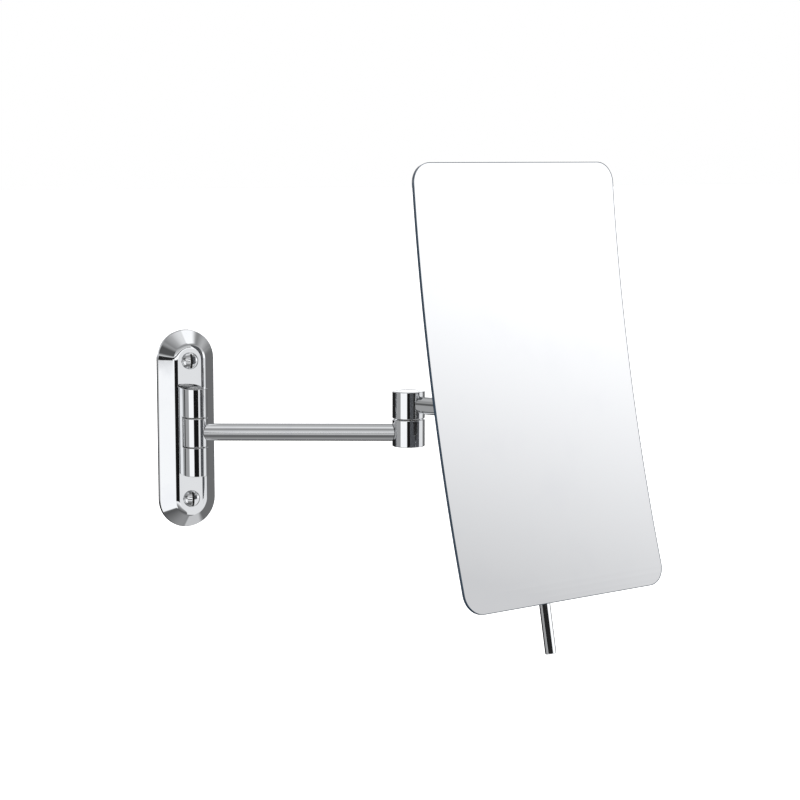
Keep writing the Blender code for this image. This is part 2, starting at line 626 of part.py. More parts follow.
# ---------------------------------------------------------------- swivel group
def make_swivel():
    """Upper barrel with a tongue that reaches forward to the tilt axis."""
    barrel, nut_seat = make_upper_barrel("swivel", SWIVEL, 0.0)
    root = -(COUNTERBORE_RADIUS + SPIGOT_ROOT)
    tongue = [(root, TONGUE_RADIUS), (-TILT_REACH, TONGUE_RADIUS)]
    tongue += arc((-TILT_REACH, 0.0), TONGUE_RADIUS, 90, 270, 12)[1:]
    tongue += [(root, -TONGUE_RADIUS)]
    join_shape(barrel, slab(tongue, -TONGUE_WIDTH / 2, TONGUE_WIDTH / 2, "X"))
    drill(barrel, TILT_PIN_RADIUS + GAP, "X", (0, -TILT_REACH, 0), -TONGUE_WIDTH,
          TONGUE_WIDTH, MEDIUM)
    return nut_seat


# ---------------------------------------------------------------- mirror group
def bent_sheet(name, width, height, corner, behind, thickness, finish):
    """Rounded rectangle, cut into level strips, thickened and bent top to bottom.

    behind is the distance from the front of the glass back to the sheet's front.
    """
    bm = bmesh.new()
    bm.faces.new([bm.verts.new((x, 0.0, z))
                  for x, z in rounded_rectangle(width, height, corner)])
    straight = height - 2 * corner
    for i in range(BEND_STRIPS + 1):
        level = straight * (i / BEND_STRIPS - 0.5)
        bmesh.ops.bisect_plane(bm, geom=bm.verts[:] + bm.edges[:] + bm.faces[:],
                               dist=1e-6, plane_co=(0, 0, level), plane_no=(0, 0, 1))
    grown = bmesh.ops.extrude_face_region(bm, geom=bm.faces[:])
    moved = [item for item in grown["geom"] if isinstance(item, bmesh.types.BMVert)]
    bmesh.ops.translate(bm, verts=moved, vec=(0, thickness, 0))
    front = -GLASS_REACH + behind
    for vert in bm.verts:
        vert.co.y += front - bend_depth(vert.co.z)
    return finish_object(name, bm, finish, TILT)


def make_mirror_layers():
    bent_sheet("mirror_glass", GLASS_WIDTH, GLASS_HEIGHT, GLASS_CORNER, 0.0,
               GLASS_THICKNESS, GLASS)
    bent_sheet("mirror_backing", GLASS_WIDTH, GLASS_HEIGHT, GLASS_CORNER, COAT_DEPTH,
               BACKING_COAT, PAINT)
    bent_sheet("adhesive_pad", HOLDER_WIDTH - 2 * PAD_INSET, HOLDER_HEIGHT - 2 * PAD_INSET,
               HOLDER_CORNER, PAD_DEPTH, PAD_THICKNESS, FOAM)
    holder = bent_sheet("holder_plate", HOLDER_WIDTH, HOLDER_HEIGHT, HOLDER_CORNER,
                        HOLDER_DEPTH, HOLDER_THICKNESS, STEEL)
    holder_face = HOLDER_DEPTH - GLASS_REACH
    for level in holder_screw_levels():
        face = holder_face - bend_depth(level)
        drill(holder, HOLDER_SCREW_RADIUS + GAP, "Y", (0, 0, level), face - CUT_PAST,
              face + HOLDER_THICKNESS + CUT_PAST)
        drill(holder, HOLDER_SCREW_HEAD_RADIUS + GAP, "Y", (0, 0, level), face - CUT_PAST,
              face + HOLDER_SCREW_HEAD_HEIGHT + GAP)
    return holder_face


def bend_depth(level):
    """How far the bend brings a sheet forward at a height above its middle."""
    return BEND_RADIUS - math.sqrt(BEND_RADIUS ** 2 - level ** 2)


def boss_level():
    return -(ROD_BOSS_TOP + ROD_BOSS_HEIGHT / 2)


def holder_screw_levels():
    return (YOKE_SCREW_SPACING / 2, -YOKE_SCREW_SPACING / 2, boss_level())


def cheek_inner():
    return TONGUE_WIDTH / 2 + GAP + TILT_WASHER_THICKNESS + GAP


def make_yoke(holder_back):
    """Base against the holder plate and two cheeks that reach back to the tilt axis."""
    front = holder_back + GAP
    back = front + YOKE_BASE_THICKNESS
    half_width = cheek_inner() + CHEEK_THICKNESS
    base = rectangle(-half_width, half_width, -YOKE_BASE_HEIGHT / 2, YOKE_BASE_HEIGHT / 2)
    yoke = finish_object("tilt_yoke", slab(base, front, back), CHROME, TILT)
    for side in (-1, 1):
        root = front + YOKE_BASE_THICKNESS / 3
        cheek = [(root, -CHEEK_RADIUS), (0.0, -CHEEK_RADIUS)]
        cheek += arc((0.0, 0.0), CHEEK_RADIUS, -90, 90, 12)[1:]
        cheek += [(root, CHEEK_RADIUS)]
        near = side * cheek_inner()
        far = side * (half_width - SMALL_EDGE)
        join_shape(yoke, slab(cheek, min(near, far), max(near, far), "X"))
    drill(yoke, TILT_PIN_RADIUS + GAP, "X", (0, 0, 0), -2 * half_width, 2 * half_width, MEDIUM)
    for level in holder_screw_levels()[:2]:
        drill(yoke, HOLDER_SCREW_RADIUS + GAP, "Y", (0, 0, level), front - CUT_PAST,
              back + CUT_PAST)
    return back


def make_rod_boss(holder_back):
    """Block that grips the upper end of the handle rod; gives back its bore's front."""
    level = boss_level()
    front = holder_back + GAP + SMALL_EDGE - bend_depth(level)
    rod_y = ROD_DEPTH - GLASS_REACH
    back = rod_y + ROD_RADIUS + GAP + ROD_BOSS_BACK
    outline = rounded_rectangle(ROD_BOSS_WIDTH, ROD_BOSS_HEIGHT, 0.001, 2, (0.0, level))
    boss = finish_object("rod_boss", slab(outline, front, back), CHROME, TILT)
    drill(boss, ROD_RADIUS + GAP, "Z", (0, rod_y, 0),
          -(ROD_BOSS_TOP + ROD_BOSS_HEIGHT + CUT_PAST), -ROD_BOSS_TOP + CUT_PAST, MEDIUM)
    drill(boss, HOLDER_SCREW_RADIUS + GAP, "Y", (0, 0, level), front - CUT_PAST, rod_y)
    drill(boss, GRUB_RADIUS + GAP, "Y", (0, 0, level), rod_y, back + CUT_PAST)
    rod = solid_round(ROD_RADIUS, -ROD_END, -(ROD_BOSS_TOP + ROD_RECESS))
    finish_object("handle_rod", turned(rod, "Z", (0, rod_y, 0), MEDIUM), CHROME, TILT)
    grub_end = back - GRUB_RECESS
    grub = finish_object("handle_grub_screw",
                         turned(solid_round(GRUB_RADIUS, rod_y + ROD_RADIUS + GAP, grub_end),
                                "Y", (0, 0, level), SMALL), STEEL, TILT)
    cut_shape(grub, slab(hexagon(GRUB_SOCKET_RADIUS, (0.0, level)),
                         grub_end - GRUB_SOCKET_DEPTH, grub_end + CUT_PAST))
    return rod_y - ROD_RADIUS - GAP


def make_holder_screws(holder_face, yoke_back, boss_bore):
    """Screws from the front of the holder plate, two for the yoke and one for the boss."""
    ends = (("yoke_screw_upper", holder_screw_levels()[0], yoke_back - GAP),
            ("yoke_screw_lower", holder_screw_levels()[1], yoke_back - GAP),
            ("boss_screw", boss_level(), boss_bore - GAP))
    for name, level, end in ends:
        face = holder_face - bend_depth(level)
        seat = face + HOLDER_SCREW_HEAD_HEIGHT
        profile = [(0, face), (HOLDER_SCREW_HEAD_RADIUS, face),
                   (HOLDER_SCREW_HEAD_RADIUS, seat), (HOLDER_SCREW_RADIUS, seat),
                   (HOLDER_SCREW_RADIUS, end), (0, end)]
        finish_object(name, turned(profile, "Y", (0, 0, level), SMALL), STEEL, TILT)


def make_tilt_clamp():
    """Pin across the yoke, a friction washer each side of the tongue, and the knob."""
    half_width = cheek_inner() + CHEEK_THICKNESS
    washer_low = TONGUE_WIDTH / 2 + GAP
    for name, side in (("tilt_washer_left", -1), ("tilt_washer_right", 1)):
        ends = sorted((side * washer_low, side * (washer_low + TILT_WASHER_THICKNESS)))
        finish_object(name, turned(plain_ring(TILT_WASHER_RADIUS, TILT_PIN_RADIUS + GAP,
                                              *ends), "X", segments=MEDIUM),
                      NYLON, TILT)
    spring_low = half_width + GAP
    spring_high = spring_low + SPRING_WASHER_HEIGHT
    finish_object("tilt_spring_washer",
                  turned(plain_ring(TILT_WASHER_RADIUS, TILT_PIN_RADIUS + GAP, spring_low,
                                    spring_high), "X", segments=MEDIUM), STEEL, TILT)
    knob_low = spring_high + GAP
    knob_high = knob_low + KNOB_LENGTH
    head = -(half_width + GAP)
    pin_end = knob_high + PIN_END
    profile = [(0, head - TILT_PIN_HEAD_HEIGHT),
               (TILT_PIN_HEAD_RADIUS * 0.72, head - TILT_PIN_HEAD_HEIGHT),
               (TILT_PIN_HEAD_RADIUS, head - TILT_PIN_HEAD_HEIGHT * 0.6),
               (TILT_PIN_HEAD_RADIUS, head), (TILT_PIN_RADIUS, head),
               (TILT_PIN_RADIUS, pin_end - EDGE), (TILT_PIN_RADIUS - EDGE, pin_end),
               (0, pin_end)]
    finish_object("tilt_pin", turned(profile, "X", segments=MEDIUM), CHROME, TILT)
    points = KNOB_FLUTES * 4
    outline = []
    for i in range(points):
        angle = math.tau * i / points
        radius = KNOB_RADIUS - KNOB_FLUTE * (0.5 - 0.5 * math.cos(KNOB_FLUTES * angle))
        outline.append((radius * math.cos(angle), radius * math.sin(angle)))
    knob = finish_object("tilt_knob", slab(outline, knob_low, knob_high, "X"), CHROME, TILT)
    drill(knob, TILT_PIN_RADIUS + GAP, "X", (0, 0, 0), knob_low - CUT_PAST,
          knob_high + CUT_PAST, MEDIUM)


# ---------------------------------------------------------------- build
make_wall_plate()
make_backing_plate()
make_wall_screws()
make_hinge_bracket()
make_hinge_pin()
make_bracket_screws()

ELBOW_LOWER, ELBOW_HEAD_SEAT = make_inner_arm()
ELBOW_NUT_SEAT, SWIVEL_LOWER, SWIVEL_HEAD_SEAT = make_outer_arm()
SWIVEL_NUT_SEAT = make_swivel()
make_joint_hardware("elbow", ELBOW_LOWER, 0.0, ELBOW_HEAD_SEAT, ELBOW_NUT_SEAT)
make_joint_hardware("swivel", SWIVEL_LOWER, BARREL_PITCH, SWIVEL_HEAD_SEAT,
                    SWIVEL_NUT_SEAT + 2 * BARREL_PITCH)

HOLDER_FACE = make_mirror_layers()
HOLDER_BACK = HOLDER_FACE + HOLDER_THICKNESS
YOKE_BACK = make_yoke(HOLDER_BACK)
BOSS_BORE = make_rod_boss(HOLDER_BACK)
make_holder_screws(HOLDER_FACE, YOKE_BACK, BOSS_BORE)
make_tilt_clamp()
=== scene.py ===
# %% [markdown]
# # An extendable shaving mirror
# The mirror hangs on a bathroom wall. A dished plate carries a hinge, two short tubes fold
# at an elbow, and a swivel head with a friction clamp holds a tall sheet of bent glass.
# The engineering model already fixes every size and every joint. This script makes the
# pieces again at a fineness that polished chrome needs, because a mirror finish shows each
# facet, and gives every piece a finish of its own.

# %% Load the engineering frame
import json
import math

import bmesh
import bpy
import numpy as np
from mathutils import Euler, Matrix, Vector


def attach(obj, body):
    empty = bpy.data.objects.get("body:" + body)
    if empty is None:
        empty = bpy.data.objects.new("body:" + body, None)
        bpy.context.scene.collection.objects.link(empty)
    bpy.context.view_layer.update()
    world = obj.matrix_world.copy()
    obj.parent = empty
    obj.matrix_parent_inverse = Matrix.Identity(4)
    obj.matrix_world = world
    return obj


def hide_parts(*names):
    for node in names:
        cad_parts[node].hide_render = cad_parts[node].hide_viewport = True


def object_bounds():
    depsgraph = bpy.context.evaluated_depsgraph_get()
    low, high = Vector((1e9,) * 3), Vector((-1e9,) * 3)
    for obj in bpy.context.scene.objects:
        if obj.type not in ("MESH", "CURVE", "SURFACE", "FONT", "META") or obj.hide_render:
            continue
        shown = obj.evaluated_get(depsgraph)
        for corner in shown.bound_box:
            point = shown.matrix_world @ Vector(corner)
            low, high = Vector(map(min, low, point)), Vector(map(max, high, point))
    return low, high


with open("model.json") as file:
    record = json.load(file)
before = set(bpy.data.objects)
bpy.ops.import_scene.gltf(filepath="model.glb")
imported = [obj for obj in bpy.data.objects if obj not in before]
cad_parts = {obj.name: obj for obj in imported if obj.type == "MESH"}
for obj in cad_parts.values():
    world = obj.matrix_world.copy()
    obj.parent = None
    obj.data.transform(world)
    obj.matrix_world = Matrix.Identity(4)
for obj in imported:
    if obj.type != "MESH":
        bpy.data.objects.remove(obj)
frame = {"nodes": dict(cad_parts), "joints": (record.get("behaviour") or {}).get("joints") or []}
cad_low, cad_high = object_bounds()
MM = 0.001

# %% [markdown]
# ## Bench frames
# A maker turns and files each part on the bench, not in the air where it ends up. So each
# moving group gets a bench frame: a matrix that carries a piece from the bench to its
# place. The joints say where the axes stand, and the handle rod, which is long and thin,
# tells how far the mirror leans back. That lean is the rod's longest direction, which a
# singular value decomposition of its points gives straight away.

# %% Bench frames from the joints
JOINTS = {joint["name"]: joint for joint in frame["joints"]}


def joint_point(name):
    return Vector(JOINTS[name]["pos_m"])


def bench(origin, along, up):
    """Matrix from a bench frame, X along and Z up as near as can be, to the world."""
    x = along.normalized()
    z = (up - x * up.dot(x)).normalized()
    turn = Matrix((x, z.cross(x), z)).transposed().to_4x4()
    return Matrix.Translation(origin) @ turn


def long_direction(node):
    points = np.array([v.co for v in frame["nodes"][node].data.vertices])
    direction = Vector(np.linalg.svd(points - points.mean(0), full_matrices=False)[2][0])
    return direction if direction.z > 0 else -direction


UP = Vector((0, 0, 1))
to_elbow = joint_point("elbow_swing") - joint_point("arm_swing")
to_swivel = joint_point("mirror_swivel") - joint_point("elbow_swing")
tilt_axis = Vector(JOINTS["mirror_tilt"]["axis"])
WALL = Matrix.Identity(4)
HINGE = bench(joint_point("arm_swing"), to_elbow * Vector((1, 1, 0)), UP)
ELBOW = bench(joint_point("elbow_swing"), to_swivel * Vector((1, 1, 0)), UP)
OUTER_END = bench(joint_point("mirror_swivel"), to_swivel * Vector((1, 1, 0)), UP)
ELBOW_ON_ARM = bench(joint_point("elbow_swing"), to_elbow * Vector((1, 1, 0)), UP)
SWIVEL = bench(joint_point("mirror_swivel"), tilt_axis, UP)
TILT = bench(joint_point("mirror_tilt"), tilt_axis, long_direction("handle_rod"))
print("the glass leans back", round(math.degrees(TILT.col[2].xyz.angle(UP)), 1), "degrees")

# %% [markdown]
# A piece takes its size from the node that it stands for. Measured along the bench frame's
# own axes, a node's box is tight, so a barrel's radius or a pin's length can be read off it.

# %% Measure a node on its bench


def span(node, at):
    """Lowest and highest corner of a frame node along the axes of a bench frame."""
    back = at.inverted()
    corners = np.array([back @ v.co for v in frame["nodes"][node].data.vertices])
    return Vector(corners.min(0)), Vector(corners.max(0))


def middle_level(node):
    """Height of the middle of a node of the wall group."""
    low, high = span(node, WALL)
    return (low.z + high.z) / 2


low, high = span("elbow_top_cap", ELBOW)
print("elbow cap", round((high.x - low.x) / MM, 2), "mm across")

# %% [markdown]
# ## Camera
# The view is a little from the left and a little from above, with a long lens, so the
# glass hardly narrows towards the top.

# %% Camera
CAMERA_PLACE = Vector((-0.3802, -1.0658, 0.1567))
CAMERA_TURN = math.radians(-25.94)
CAMERA_PITCH = math.radians(-7.11)
CAMERA_LENS = 88.2

camera_data = bpy.data.cameras.new("camera")
camera_data.lens = CAMERA_LENS
camera_data.sensor_width = 36.0
camera = bpy.data.objects.new("camera", camera_data)
camera.location = CAMERA_PLACE
camera.rotation_euler = Euler((math.radians(90) + CAMERA_PITCH, 0, CAMERA_TURN))
bpy.context.scene.collection.objects.link(camera)
bpy.context.scene.camera = camera
bpy.context.scene.view_settings.view_transform = "Standard"
print("camera", round((CAMERA_PLACE - (cad_low + cad_high) / 2).length, 3), "m away")

# %% [markdown]
# ## The studio, as chrome sees it
# Chrome has no look of its own: it shows the room. A product studio hangs white cloths and
# black cards round the piece, and the crisp stripes on a chrome tube are their reflections.
# Cards that hang in the room would block other views, so they are painted on the world
# instead. The world is read by bearing, from the front of the room to each side, and by
# height above the horizon, and stays put whatever the camera does.

# %% Small helpers for node trees


def add_node(tree, kind, **settings):
    made = tree.nodes.new(kind)
    for name, value in settings.items():
        setattr(made, name, value)
    return made


def wire(tree, source, target):
    tree.links.new(source, target)


def math_node(tree, operation, *values):
    """Math node whose inputs are sockets or plain numbers; gives back its output."""
    made = add_node(tree, "ShaderNodeMath", operation=operation)
    for socket, value in zip(made.inputs, values):
        if isinstance(value, (int, float)):
            socket.default_value = value
        else:
            wire(tree, value, socket)
    return made.outputs[0]


MIX_SOCKETS = {"FLOAT": (2, 3, 0), "RGBA": (6, 7, 2)}   # two inputs and the output


def mix(tree, kind, share, first, second):
    """Blend two sockets, numbers or colours, by a share; gives back its output."""
    made = add_node(tree, "ShaderNodeMix", data_type=kind)
    first_input, second_input, output = MIX_SOCKETS[kind]
    for number, source in ((0, share), (first_input, first), (second_input, second)):
        wire(tree, source, made.inputs[number])
    return made.outputs[output]


def new_group(name, inputs, outputs):
    """Empty shader group with named sockets; gives back (tree, inputs, outputs)."""
    tree = bpy.data.node_groups.new(name, "ShaderNodeTree")
    for label, kind, value in inputs:
        socket = tree.interface.new_socket(label, in_out="INPUT", socket_type=kind)
        if value is not None:
            socket.default_value = value
    for label, kind in outputs:
        tree.interface.new_socket(label, in_out="OUTPUT", socket_type=kind)
    return tree, tree.nodes.new("NodeGroupInput").outputs, tree.nodes.new("NodeGroupOutput").inputs


def use_group(tree, group, **values):
    """Place a group in a tree, with sockets named by underscored words."""
    made = add_node(tree, "ShaderNodeGroup", node_tree=group)
    for name, value in values.items():
        socket = made.inputs[name.replace("_", " ")]
        if isinstance(value, bpy.types.NodeSocket):
            wire(tree, value, socket)
        else:
            socket.default_value = value
    return made


# %% A soft-edged card, as a group
FLOAT = "NodeSocketFloat"
card_group, card_in, card_out = new_group(
    "studio card",
    [(name, FLOAT, 0.0) for name in ("Light", "Bearing", "Height", "Left", "Right",
                                     "Low", "High", "Edge", "Brightness")],
    [("Light", FLOAT)])


def ramp_up(tree, value, at, edge):
    """Smooth step from 0 to 1 round a value, twice the edge wide."""
    step = add_node(tree, "ShaderNodeMapRange", interpolation_type="SMOOTHSTEP")
    wire(tree, value, step.inputs["Value"])
    wire(tree, math_node(tree, "SUBTRACT", at, edge), step.inputs["From Min"])
    wire(tree, math_node(tree, "ADD", at, edge), step.inputs["From Max"])
    return step.outputs["Result"]


inside = ramp_up(card_group, card_in["Bearing"], card_in["Left"], card_in["Edge"])
for reading, limit, past in (("Bearing", "Right", True), ("Height", "Low", False),
                             ("Height", "High", True)):
    side = ramp_up(card_group, card_in[reading], card_in[limit], card_in["Edge"])
    if past:
        side = math_node(card_group, "SUBTRACT", 1.0, side)
    inside = math_node(card_group, "MULTIPLY", inside, side)
wire(card_group, mix(card_group, "FLOAT", inside, card_in["Light"], card_in["Brightness"]),
     card_out["Light"])
print("card group with", len(card_group.nodes), "nodes")

# %% The world: a cloth overhead and the cards round it
# Height above the horizon in degrees, and how bright the cloth is there.
CLOTH = ((-90, 0.38), (-62, 0.20), (-46, 0.11), (-25, 0.32), (-14, 1.10), (-3, 1.30),
         (5, 1.30), (10.6, 1.10), (14, 0.66), (26, 0.55), (41, 0.28), (56, 0.50),
         (70, 1.0), (90, 0.45))
# Left, right, low and high edge in degrees, softness, brightness.
CARDS = (
    (-104, -58, -60, 30, 4.0, 0.38),        # grey at the left, on the barrels' left side
    (-52, -11, -40, 18, 1.5, 1.14),         # white beside it: plate's flank, barrels' light
    (-11, 35, -12.5, -4.7, 1.2, 0.010),     # black in front: the barrels' dark stripe
    (38, 112, -60, -3.0, 1.5, 0.90),        # light at the right: plate's flat
    (116, 162, -60, 34, 5.0, 0.18),         # dark past it: plate's right flank
    (150, 185, -60, 0, 5.0, 0.12),          # dark behind, low down, on both sides
    (-185, -104, -60, 0, 3.0, 0.02),
    (-75, -14, 7, 32, 6.0, 0.10),           # dark high at the left: plate's upper end
    (50, 125, 50, 82, 6.0, 1.20),           # and light high at the right
    (95, 160, -85, -48, 5.0, 0.65),         # light low at the right: plate's lower end
    (162, 185, 2.5, 18, 1.5, 1.25),         # white behind, just up: flat tops of the caps
    (-185, -162, 2.5, 18, 1.5, 1.25),
    (120, 185, 56, 84, 4.0, 0.50),          # grey high behind: tops of the tubes
    (-185, -120, 56, 84, 4.0, 0.50),
    (-57, -30, -5.6, 1.6, 0.7, 0.02),       # four narrow black cards, in steps: the rod's
    (-32, -7, -1.6, 5.2, 0.7, 0.02),        # dark stripe, which climbs because it leans
    (-8, 14, 2.4, 7.0, 0.7, 0.02),
    (12, 47, 3.4, 9.0, 0.7, 0.02),
)
ROOM_TINT = (0.982, 0.988, 1.0, 1.0)

world = bpy.data.worlds.new("studio")
world.use_nodes = True
bpy.context.scene.world = world
tree = world.node_tree
tree.nodes.clear()
way = add_node(tree, "ShaderNodeTexCoord").outputs["Generated"]
front = Vector((math.sin(CAMERA_TURN), -math.cos(CAMERA_TURN), 0))
right = Vector((math.cos(CAMERA_TURN), math.sin(CAMERA_TURN), 0))
sideways = []
for direction in (right, front):
    dot = add_node(tree, "ShaderNodeVectorMath", operation="DOT_PRODUCT")
    wire(tree, way, dot.inputs[0])
    dot.inputs[1].default_value = direction
    sideways.append(dot.outputs["Value"])
DEGREE = 180 / math.pi
bearing = math_node(tree, "MULTIPLY", math_node(tree, "ARCTAN2", *sideways), DEGREE)
apart = add_node(tree, "ShaderNodeSeparateXYZ")
wire(tree, way, apart.inputs[0])
height = math_node(tree, "MULTIPLY", math_node(tree, "ARCSINE", apart.outputs["Z"]), DEGREE)
cloth = add_node(tree, "ShaderNodeValToRGB")
wire(tree, math_node(tree, "DIVIDE", math_node(tree, "ADD", height, 90.0), 180.0),
     cloth.inputs["Fac"])
stops = cloth.color_ramp.elements
CLOTH_TOP = max(light for _, light in CLOTH)
while len(stops) < len(CLOTH):
    stops.new(0.5)
for stop, (level, light) in zip(stops, CLOTH):
    stop.position = (level + 90) / 180
    stop.color = (*[light / CLOTH_TOP] * 3, 1.0)
light = math_node(tree, "MULTIPLY", cloth.outputs["Color"], CLOTH_TOP)
for left, to_right, lowest, highest, edge, brightness in CARDS:
    light = use_group(tree, card_group, Light=light, Bearing=bearing, Height=height, Left=left,
                      Right=to_right, Low=lowest, High=highest, Edge=edge,
                      Brightness=brightness).outputs["Light"]
room = add_node(tree, "ShaderNodeBackground")
room.inputs["Color"].default_value = ROOM_TINT
wire(tree, light, room.inputs["Strength"])
plain = add_node(tree, "ShaderNodeBackground")
plain.inputs["Color"].default_value = (1, 1, 1, 1)
pick = add_node(tree, "ShaderNodeMixShader")
wire(tree, add_node(tree, "ShaderNodeLightPath").outputs["Is Camera Ray"], pick.inputs[0])
wire(tree, room.outputs[0], pick.inputs[1])
wire(tree, plain.outputs[0], pick.inputs[2])
wire(tree, pick.outputs[0], add_node(tree, "ShaderNodeOutputWorld").inputs["Surface"])
print("world with", len(CARDS), "cards")

# %% [markdown]
# The floor is a broad pale sheet, lit a little from below like a light table, so that it
# meets the white behind it without a line. One wide soft lamp overhead lights the matt
# pieces. Neither is reflected, because the painted world already gives the chrome all
# that it should show.

# %% Floor and lamp
FLOOR_DROP = 0.30
FLOOR_HALF = 30.0
LAMP_PLACE = Vector((-0.7, -1.3, 1.6))

floor_finish = bpy.data.materials.new("pale_floor")
floor_finish.use_nodes = True
shader = floor_finish.node_tree.nodes["Principled BSDF"]
shader.inputs["Base Color"].default_value = (0.90, 0.90, 0.90, 1)
shader.inputs["Roughness"].default_value = 0.8
shader.inputs["Emission Color"].default_value = (1, 1, 1, 1)
shader.inputs["Emission Strength"].default_value = 1.0
bm = bmesh.new()
bmesh.ops.create_grid(bm, x_segments=1, y_segments=1, size=FLOOR_HALF)
bmesh.ops.translate(bm, verts=bm.verts, vec=(0, 0, cad_low.z - FLOOR_DROP))
floor_mesh = bpy.data.meshes.new("floor")
bm.to_mesh(floor_mesh)
bm.free()
floor_mesh.materials.append(floor_finish)
floor = bpy.data.objects.new("floor", floor_mesh)
bpy.context.scene.collection.objects.link(floor)
floor.visible_glossy = False

lamp_data = bpy.data.lights.new("soft_lamp", "AREA")
lamp_data.shape = "DISK"
lamp_data.size = 2.0
lamp_data.energy = 26.0
lamp = bpy.data.objects.new("soft_lamp", lamp_data)
lamp.location = LAMP_PLACE
lamp.rotation_euler = (-LAMP_PLACE).to_track_quat("-Z", "Y").to_euler()
lamp.visible_glossy = False
lamp.visible_camera = False
bpy.context.scene.collection.objects.link(lamp)
print("floor", round(cad_low.z - FLOOR_DROP, 3), "m")

# %% [markdown]
# ## Finishes
# Bathroom chrome is wiped every day. What tells it from a computer's perfect mirror is
# faint: broad patches where water dried, and hair-fine wiping lines, both too shallow to
# see unless the light catches them. One group makes both, and every bright finish uses it
# with its own strengths. It works in the object's own coordinates, so the marks are real
# sizes: millimetres for the patches and a tenth of that for the lines.

# %% Wiping marks, as a group
COLOUR = "NodeSocketColor"
VECTOR = "NodeSocketVector"
wiped_group, wiped_in, wiped_out = new_group(
    "wiped surface",
    [("Place", VECTOR, None), ("Patch Size", FLOAT, 0.01), ("Line Width", FLOAT, 0.0002),
     ("Smooth", FLOAT, 0.03), ("Dull", FLOAT, 0.08), ("Clean", COLOUR, (1, 1, 1, 1)),
     ("Marked", COLOUR, (1, 1, 1, 1))],
    [("Colour", COLOUR), ("Roughness", FLOAT), ("Height", FLOAT)])


def scaled_noise(tree, place, size, detail, stretch=(1, 1, 1)):
    """Noise whose features are about a given size, longer along some axes."""
    mapped = add_node(tree, "ShaderNodeMapping")
    wire(tree, place, mapped.inputs["Vector"])
    mapped.inputs["Scale"].default_value = stretch
    noise = add_node(tree, "ShaderNodeTexNoise")
    wire(tree, mapped.outputs["Vector"], noise.inputs["Vector"])
    wire(tree, math_node(tree, "DIVIDE", 1.0, size), noise.inputs["Scale"])
    noise.inputs["Detail"].default_value = detail
    return noise.outputs["Fac"]


patches = scaled_noise(wiped_group, wiped_in["Place"], wiped_in["Patch Size"], 3.0)
fine = scaled_noise(wiped_group, wiped_in["Place"], wiped_in["Line Width"], 1.0, (1, 1, 0.06))
spread = add_node(wiped_group, "ShaderNodeMapRange", interpolation_type="SMOOTHSTEP")
wire(wiped_group, patches, spread.inputs["Value"])
spread.inputs["From Min"].default_value = 0.45
spread.inputs["From Max"].default_value = 0.75
marked = spread.outputs["Result"]
wire(wiped_group, mix(wiped_group, "RGBA", marked, wiped_in["Clean"], wiped_in["Marked"]),
     wiped_out["Colour"])
wiping = math_node(wiped_group, "MULTIPLY", marked, fine)
wire(wiped_group, mix(wiped_group, "FLOAT", wiping, wiped_in["Smooth"], wiped_in["Dull"]),
     wiped_out["Roughness"])
wire(wiped_group, math_node(wiped_group, "ADD", patches, math_node(
    wiped_group, "MULTIPLY", fine, 0.25)), wiped_out["Height"])

# %% [markdown]
# Plain steel, nylon, paint and foam aren't polished, so they show a grain instead: fine
# even speckle, with a broader cloud of lighter and darker patches under it.

# %% Grain, as a group
grain_group, grain_in, grain_out = new_group(
    "grain",
    [("Place", VECTOR, None), ("Grain Size", FLOAT, 0.0004), ("Cloud Size", FLOAT, 0.01),
     ("Smooth", FLOAT, 0.3), ("Rough", FLOAT, 0.5), ("Light", COLOUR, (1, 1, 1, 1)),
     ("Dark", COLOUR, (0, 0, 0, 1))],
    [("Colour", COLOUR), ("Roughness", FLOAT), ("Height", FLOAT)])
speckle = scaled_noise(grain_group, grain_in["Place"], grain_in["Grain Size"], 2.0)
cloud = scaled_noise(grain_group, grain_in["Place"], grain_in["Cloud Size"], 3.0)
both = math_node(grain_group, "ADD", math_node(grain_group, "MULTIPLY", cloud, 0.6),
                 math_node(grain_group, "MULTIPLY", speckle, 0.4))
shade = add_node(grain_group, "ShaderNodeMapRange")
wire(grain_group, both, shade.inputs["Value"])
shade.inputs["From Min"].default_value = 0.32
shade.inputs["From Max"].default_value = 0.68
wire(grain_group, mix(grain_group, "RGBA", shade.outputs["Result"], grain_in["Dark"],
                      grain_in["Light"]), grain_out["Colour"])
wire(grain_group, mix(grain_group, "FLOAT", speckle, grain_in["Smooth"], grain_in["Rough"]),
     grain_out["Roughness"])
wire(grain_group, speckle, grain_out["Height"])


# %% Put a group and a shader together
def surface(name, group, bump_height, metallic, values, **constants):
    """A Principled material whose colour, roughness and normal come from one group."""
    finish = bpy.data.materials.new(name)
    finish.use_nodes = True
    tree = finish.node_tree
    shader = tree.nodes["Principled BSDF"]
    shader.inputs["Metallic"].default_value = metallic
    for socket, value in constants.items():
        shader.inputs[socket.replace("_", " ")].default_value = value
    place = add_node(tree, "ShaderNodeTexCoord").outputs["Object"]
    marks = use_group(tree, group, Place=place, **values)
    wire(tree, marks.outputs["Colour"], shader.inputs["Base Color"])
    wire(tree, marks.outputs["Roughness"], shader.inputs["Roughness"])
    bump = add_node(tree, "ShaderNodeBump")
    bump.inputs["Distance"].default_value = bump_height
    wire(tree, marks.outputs["Height"], bump.inputs["Height"])
    wire(tree, bump.outputs["Normal"], shader.inputs["Normal"])
    return finish


